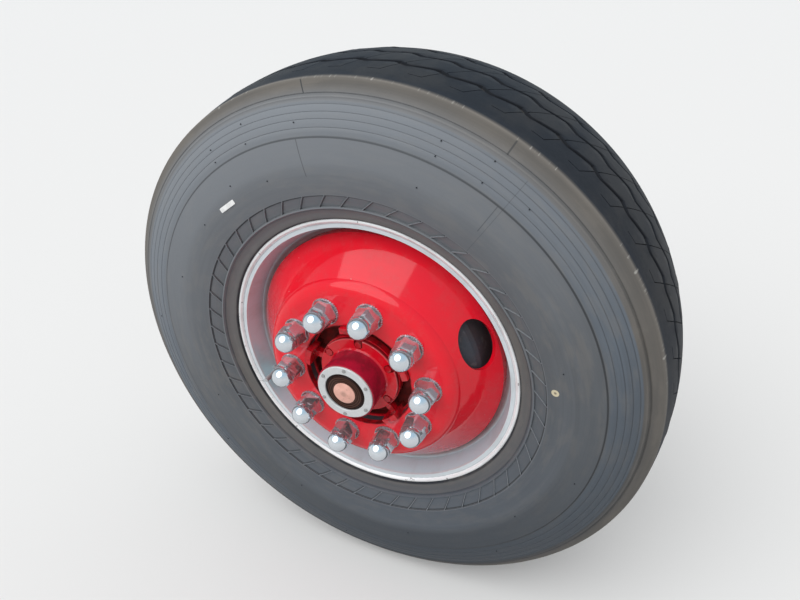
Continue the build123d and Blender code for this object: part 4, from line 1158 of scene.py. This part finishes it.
class WHEELEND_OT_vents(bpy.types.Operator):
    """Builds the small rubber stubs that the mould's vents leave on the wall"""

    bl_idname = "wheelend.vents"
    bl_label = "Build the vent stubs"

    def execute(self, context):
        places = [turned_point(radius, wall_place(radius), turn) for radius, turn in VENTS]
        body = axle_cylinder("tyre_vents", places[0], **VENT_SIZES)
        tip = min(v.co.y for v in body.data.vertices)
        if pick(body, "FACE", lambda face: face.center.y < tip + 0.1 * MM) != 1:
            raise RuntimeError("the vent stub's end wasn't found")
        bpy.ops.mesh.inset(thickness=0.4 * MM, depth=0.3 * MM)
        bpy.ops.mesh.select_all(action="SELECT")
        for here, there in zip(places, places[1:]):
            bpy.ops.mesh.duplicate_move(TRANSFORM_OT_translate={"value": there - here})
        finish_piece(body, vent_finish(context.scene.wheelend_tyre))
        return {"FINISHED"}


# The tag's place as radius and angle, its tilt, how far its middle stands out from the wall's
# line, in mm and degrees, and its corners' radius in metres
TAG_PLACE = (388.6, 128.8)
TAG_TILT = 4
TAG_RISE = 0.35
TAG_CORNER = 0.0014


class WHEELEND_OT_tag(bpy.types.Operator):
    """Builds the bare paper tag stuck on the wall"""

    bl_idname = "wheelend.tag"
    bl_label = "Build the tag"

    def execute(self, context):
        settings = context.scene.wheelend_tag
        clear_selection()
        bpy.ops.mesh.primitive_cube_add(size=1, location=(0, 0, 0))
        body = named(context.object, "wall_tag")
        bpy.ops.object.mode_set(mode="EDIT")
        bpy.ops.mesh.select_all(action="SELECT")
        bpy.ops.transform.resize(value=(settings.length, settings.thickness, settings.width))
        if pick(body, "EDGE", lambda edge: self.is_corner(body, edge)) != 4:
            raise RuntimeError("the tag's corners weren't found")
        bpy.ops.mesh.bevel(offset=TAG_CORNER, segments=3, affect="EDGES")
        bpy.ops.mesh.select_all(action="SELECT")
        radius, turn = TAG_PLACE
        bpy.ops.transform.rotate(
            value=radians(turn - 90 - TAG_TILT),
            orient_axis="Y",
            orient_type="GLOBAL",
            center_override=(0, 0, 0),
        )
        place = turned_point(radius, wall_place(radius) - TAG_RISE, turn)
        bpy.ops.transform.translate(value=place)
        finish_piece(body, tag_finish())
        return {"FINISHED"}

    def is_corner(self, body, edge):
        """Whether the edge runs through the tag's thickness."""
        start, end = (body.data.vertices[index].co for index in edge.vertices)
        return abs(start.y - end.y) > abs(start.x - end.x) + abs(start.z - end.z)


# One cover in mm: half its width over corners and flats, the height and scale of each row,
# the ball's radius and its middle's height
COVER_FOOT = 25.2
COVER_FLAT = 23.2
COVER_ROWS = ((1.4, 1), (1.2, 0.975), (30.6, 0.925), (4.4, 0.94), (5, 0.8))
COVER_BALL = 21.2
COVER_BALL_PLACE = 37.8
TEETH = 36
TOOTH_SPLAY = 1.075
TOOTH_WALL = 0.9
TOOTH_GAP = 0.2


class WHEELEND_OT_covers(bpy.types.Operator):
    """Builds the nut covers: a flared hexagon with round corners, a ball end and a toothed foot"""

    bl_idname = "wheelend.covers"
    bl_label = "Build the nut covers"

    def execute(self, context):
        metal = context.scene.wheelend_metal
        chrome = chrome_finish(metal)
        # The middle of the first cover's foot, which every later row is drawn in or out from
        foot = turned_point(STUD_RADIUS, DISC_FACE, STUD_ANGLE)
        self.build_shells(chrome, foot)
        self.build_teeth(chrome, foot, metal.tooth_height)
        return {"FINISHED"}

    def build_shells(self, chrome, foot):
        """Draws one cover's foot, draws it out row by row to the ball, and repeats it round."""
        half = 30 - degrees(acos(COVER_FLAT / COVER_FOOT))
        outline = []
        for corner in range(6):
            for share in (-1, -0.5, 0, 0.5, 1):
                turn = radians(STUD_ANGLE + corner * 60 + share * half)
                arm = Vector((cos(turn), 0, sin(turn)))
                outline.append(foot + arm * COVER_FOOT * MM)
        body = draw_outline("cover_shells", outline)
        bpy.ops.mesh.select_all(action="SELECT")
        bpy.ops.mesh.edge_face_add()
        for height, size in COVER_ROWS:
            step = (0, -height * MM, 0)
            bpy.ops.mesh.extrude_region_move(TRANSFORM_OT_translate={"value": step})
            bpy.ops.transform.resize(value=(size, 1, size), center_override=foot)
        bpy.ops.mesh.primitive_uv_sphere_add(
            segments=40,
            ring_count=20,
            radius=COVER_BALL * MM,
            location=foot - Vector((0, COVER_BALL_PLACE * MM, 0)),
            rotation=(radians(90), 0, 0),
        )
        repeat_round(STUDS, WELD)
        if not pick(body, "FACE", lambda face: True):
            raise RuntimeError("no nut covers")
        finish_piece(body, chrome, ("nut_covers",), smooth=20)

    def build_teeth(self, chrome, foot, height):
        """Splays every other point of a short ring at the foot, for its teeth."""
        radius = (COVER_FOOT + TOOTH_GAP) * MM
        place = foot - Vector((0, height / 2 + TOOTH_GAP * MM, 0))
        sizes = {"vertices": 2 * TEETH, "radius": radius, "depth": height}
        body = axle_cylinder("cover_teeth", place, end_fill_type="NOTHING", **sizes)

        def is_tip(v):
            turn = degrees(atan2(v.co.z - foot.z, v.co.x - foot.x))
            return v.co.y > foot.y - height / 2 and round(turn * TEETH / 180) % 2 == 0

        if not pick(body, "VERT", is_tip):
            raise RuntimeError("no teeth on the covers' rims")
        bpy.ops.transform.resize(value=(TOOTH_SPLAY, 1, TOOTH_SPLAY), center_override=foot)
        bpy.ops.object.mode_set(mode="OBJECT")
        wall = body.modifiers.new("wall", "SOLIDIFY")
        wall.thickness = TOOTH_WALL * MM
        wall.offset = 0
        bpy.ops.object.modifier_apply(modifier="wall")
        bpy.ops.object.mode_set(mode="EDIT")
        repeat_round(STUDS, WELD)
        finish_piece(body, chrome, smooth=20)


# Each metal's name, colour, roughness, metallic share, rust and size of grain, and its pieces
METALS = (
    (
        ("fastener_steel", (0.3, 0.285, 0.27), 0.42, 1, 0.35, 300),
        ("wheel_studs", "wheel_nuts", "spindle_nut", "spider_bolts", "chamber_bolts"),
    ),
    (
        ("machined_steel", (0.42, 0.42, 0.43), 0.34, 1, 0.25, 500),
        ("outer_bearing", "inner_bearing", "spindle_washer", "anchor_pins", "cam_shaft"),
    ),
    (
        ("zinc_sheet", (0.46, 0.46, 0.44), 0.4, 1, 0.25, 120),
        ("dust_shield", "push_rod", "chamber_clamp"),
    ),
    (
        ("valve_plating", (0.5, 0.51, 0.52), 0.38, 0.5, 0.1, 300),
        ("valve_stem", "valve_cap"),
    ),
    (("screw_steel", (0.36, 0.36, 0.355), 0.45, 0.4, 0.1, 300), ("ring_screws",)),
    (("ring_aluminium", (0.64, 0.65, 0.65), 0.45, 0.25, 0, 220), ("window_ring",)),
    (("bushing_bronze", (0.52, 0.33, 0.13), 0.3, 1, 0.1, 300), ("kingpin_bushings",)),
)


class WHEELEND_OT_finishes(bpy.types.Operator):
    """Gives each piece that comes from the CAD model its finish"""

    bl_idname = "wheelend.finishes"
    bl_label = "Finish the CAD pieces"

    def execute(self, context):
        finishes = self.make_finishes(context.scene.wheelend_paint, context.scene.wheelend_metal)
        for name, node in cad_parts.items():
            if name in finishes:
                node.data.materials.clear()
                node.data.materials.append(finishes[name])
            elif name not in ("tyre", "nut_covers"):
                raise RuntimeError("no finish for " + name)
        return {"FINISHED"}

    def make_finishes(self, paint, metal):
        """Each CAD piece's finish by the piece's name, from rows of a finish and its pieces."""
        red = tuple(paint.red)
        rows = (
            (enamel_finish("disc_red", red, worn=disc_wear), "wheel_disc"),
            # The hub's red is a darker copy of the disc's, as painted shade for its place deep
            # behind the disc
            (enamel_finish("hub_red", tint(red, 0.85), dirt=0.35, worn=hub_wear), "hub"),
            (enamel_finish("cap_red", tint(red, 0.86), dirt=0.22, worn=cap_wear), "hub_cap"),
            (enamel_finish("bolt_red", tint(red, 0.6), dirt=0.6), "hub_cap_bolts"),
            (silver_finish(paint), "wheel_rim"),
            (
                chassis_finish(paint), "steering_knuckle", "cam_tube", "brake_chamber",
                "chamber_bracket", "tie_rod_arm",
            ),
            (
                casting_finish("bare_casting", tuple(metal.casting)),
                "brake_spider", "slack_adjuster",
            ),
            (casting_finish("drum_iron", (0.052, 0.06, 0.074), rust=0.22), "brake_drum"),
            (window_finish(), "sight_window"),
            (plug_finish(), "vent_plug"),
            *((metal_finish(*looks), *names) for looks, names in METALS),
        )
        return {name: finish for finish, *names in rows for name in names}


# The floor and lamp in metres, and the camera as it was fitted to the photograph: its place
# in metres, its yaw, pitch and roll in degrees, and its lens and sensor in mm
FLOOR_SIZE = 80
KEY_FROM = (-0.26, -0.62, 0.74)
KEY_DISTANCE = 4
CAMERA_PLACE = (0.4606, -1.0341, 0.7144)
CAMERA_TURN = (-24.62, -30.79, -1.61)
CAMERA_LENS = 27.82
CAMERA_SENSOR = 36
SKY_LOW = (0.86, 0.87, 0.87)
SKY_HIGH = (0.52, 0.74, 0.9)
SKY_LIGHT = (0.98, 0.99, 1)


class WHEELEND_OT_stage(bpy.types.Operator):
    """Sets out the floor, the light and the camera"""

    bl_idname = "wheelend.stage"
    bl_label = "Set the stage"

    def execute(self, context):
        settings = context.scene.wheelend_stage
        clear_selection()
        bpy.ops.mesh.primitive_plane_add(size=FLOOR_SIZE, location=(0, 0, cad_low.z))
        floor = context.object
        floor.name = "stage_floor"
        floor.data.materials.append(floor_finish(settings))
        self.set_sky(context.scene, settings.sky)
        self.add_lamp(settings)
        self.set_camera(context.scene)
        context.scene.view_settings.view_transform = "Standard"
        return {"FINISHED"}

    def set_sky(self, scene, strength):
        """An even sky, which the eye sees pale low down and blue above."""
        world = bpy.data.worlds.new("studio")
        scene.world = world
        world.use_nodes = True
        sky = Nodes(world.node_tree)
        toward = sky.node("ShaderNodeTexCoord", {}, {}, "Generated")
        up = sky.node("ShaderNodeSeparateXYZ", {}, [toward], 2)
        backdrop = sky.mix(up.above(0.42, 0.4), SKY_LOW, SKY_HIGH)
        light = sky.node("ShaderNodeBackground", {}, {"Color": SKY_LIGHT, "Strength": strength})
        shown = sky.node("ShaderNodeBackground", {}, {"Color": backdrop, "Strength": 1})
        both = sky.node("ShaderNodeMixShader", {}, {0: sky.seen(), 1: light, 2: shown})
        output = sky.tree.nodes.new("ShaderNodeOutputWorld")
        sky.tree.links.new(both.socket, output.inputs["Surface"])

    def add_lamp(self, settings):
        """A wide soft lamp above and behind the eye."""
        source = Vector(KEY_FROM)
        clear_selection()
        bpy.ops.object.light_add(type="SUN", location=source * KEY_DISTANCE)
        lamp = bpy.context.object
        lamp.name = "key_lamp"
        lamp.rotation_euler = source.to_track_quat("Z", "Y").to_euler()
        lamp.data.energy = settings.key
        lamp.data.angle = settings.key_width

    def set_camera(self, scene):
        """Stands the camera where the photograph was taken from."""
        data = bpy.data.cameras.new("photo_camera")
        data.sensor_width = CAMERA_SENSOR
        data.lens = CAMERA_LENS
        camera = bpy.data.objects.new("photo_camera", data)
        scene.collection.objects.link(camera)
        yaw, pitch, roll = (radians(turn) for turn in CAMERA_TURN)
        aim = Matrix.Rotation(-yaw, 4, "Z") @ Matrix.Rotation(radians(90) + pitch, 4, "X")
        aim = aim @ Matrix.Rotation(roll, 4, "Z")
        camera.matrix_world = Matrix.Translation(CAMERA_PLACE) @ aim
        scene.camera = camera


class WHEELEND_PT_panel(bpy.types.Panel):
    """Lists the wheel end's sizes, colours and pieces"""

    bl_idname = "WHEELEND_PT_panel"
    bl_label = "Wheel end"
    bl_space_type = "VIEW_3D"
    bl_region_type = "UI"
    bl_category = "Wheel End"

    def draw(self, context):
        for place in GROUPS:
            group = getattr(context.scene, place)
            box = self.layout.box()
            for name in group.bl_rna.properties.keys():
                if name not in ("rna_type", "name"):
                    box.prop(group, name)
        for operator in OPERATORS:
            self.layout.operator(operator.bl_idname)


GROUPS = {
    "wheelend_tyre": TyreSettings,
    "wheelend_tag": TagSettings,
    "wheelend_paint": PaintSettings,
    "wheelend_metal": MetalSettings,
    "wheelend_stage": StageSettings,
}
OPERATORS = (
    WHEELEND_OT_tyre,
    WHEELEND_OT_vents,
    WHEELEND_OT_tag,
    WHEELEND_OT_covers,
    WHEELEND_OT_finishes,
    WHEELEND_OT_stage,
)
CLASSES = (*GROUPS.values(), *OPERATORS, WHEELEND_PT_panel)


def register():
    for made in CLASSES:
        bpy.utils.register_class(made)
    for place, group in GROUPS.items():
        setattr(bpy.types.Scene, place, PointerProperty(type=group))


def unregister():
    for place in GROUPS:
        delattr(bpy.types.Scene, place)
    for made in CLASSES[::-1]:
        bpy.utils.unregister_class(made)


def main():
    register()
    bpy.ops.wheelend.tyre()
    bpy.ops.wheelend.vents()
    bpy.ops.wheelend.tag()
    bpy.ops.wheelend.covers()
    bpy.ops.wheelend.finishes()
    bpy.ops.wheelend.stage()


if __name__ == "__main__":
    main()
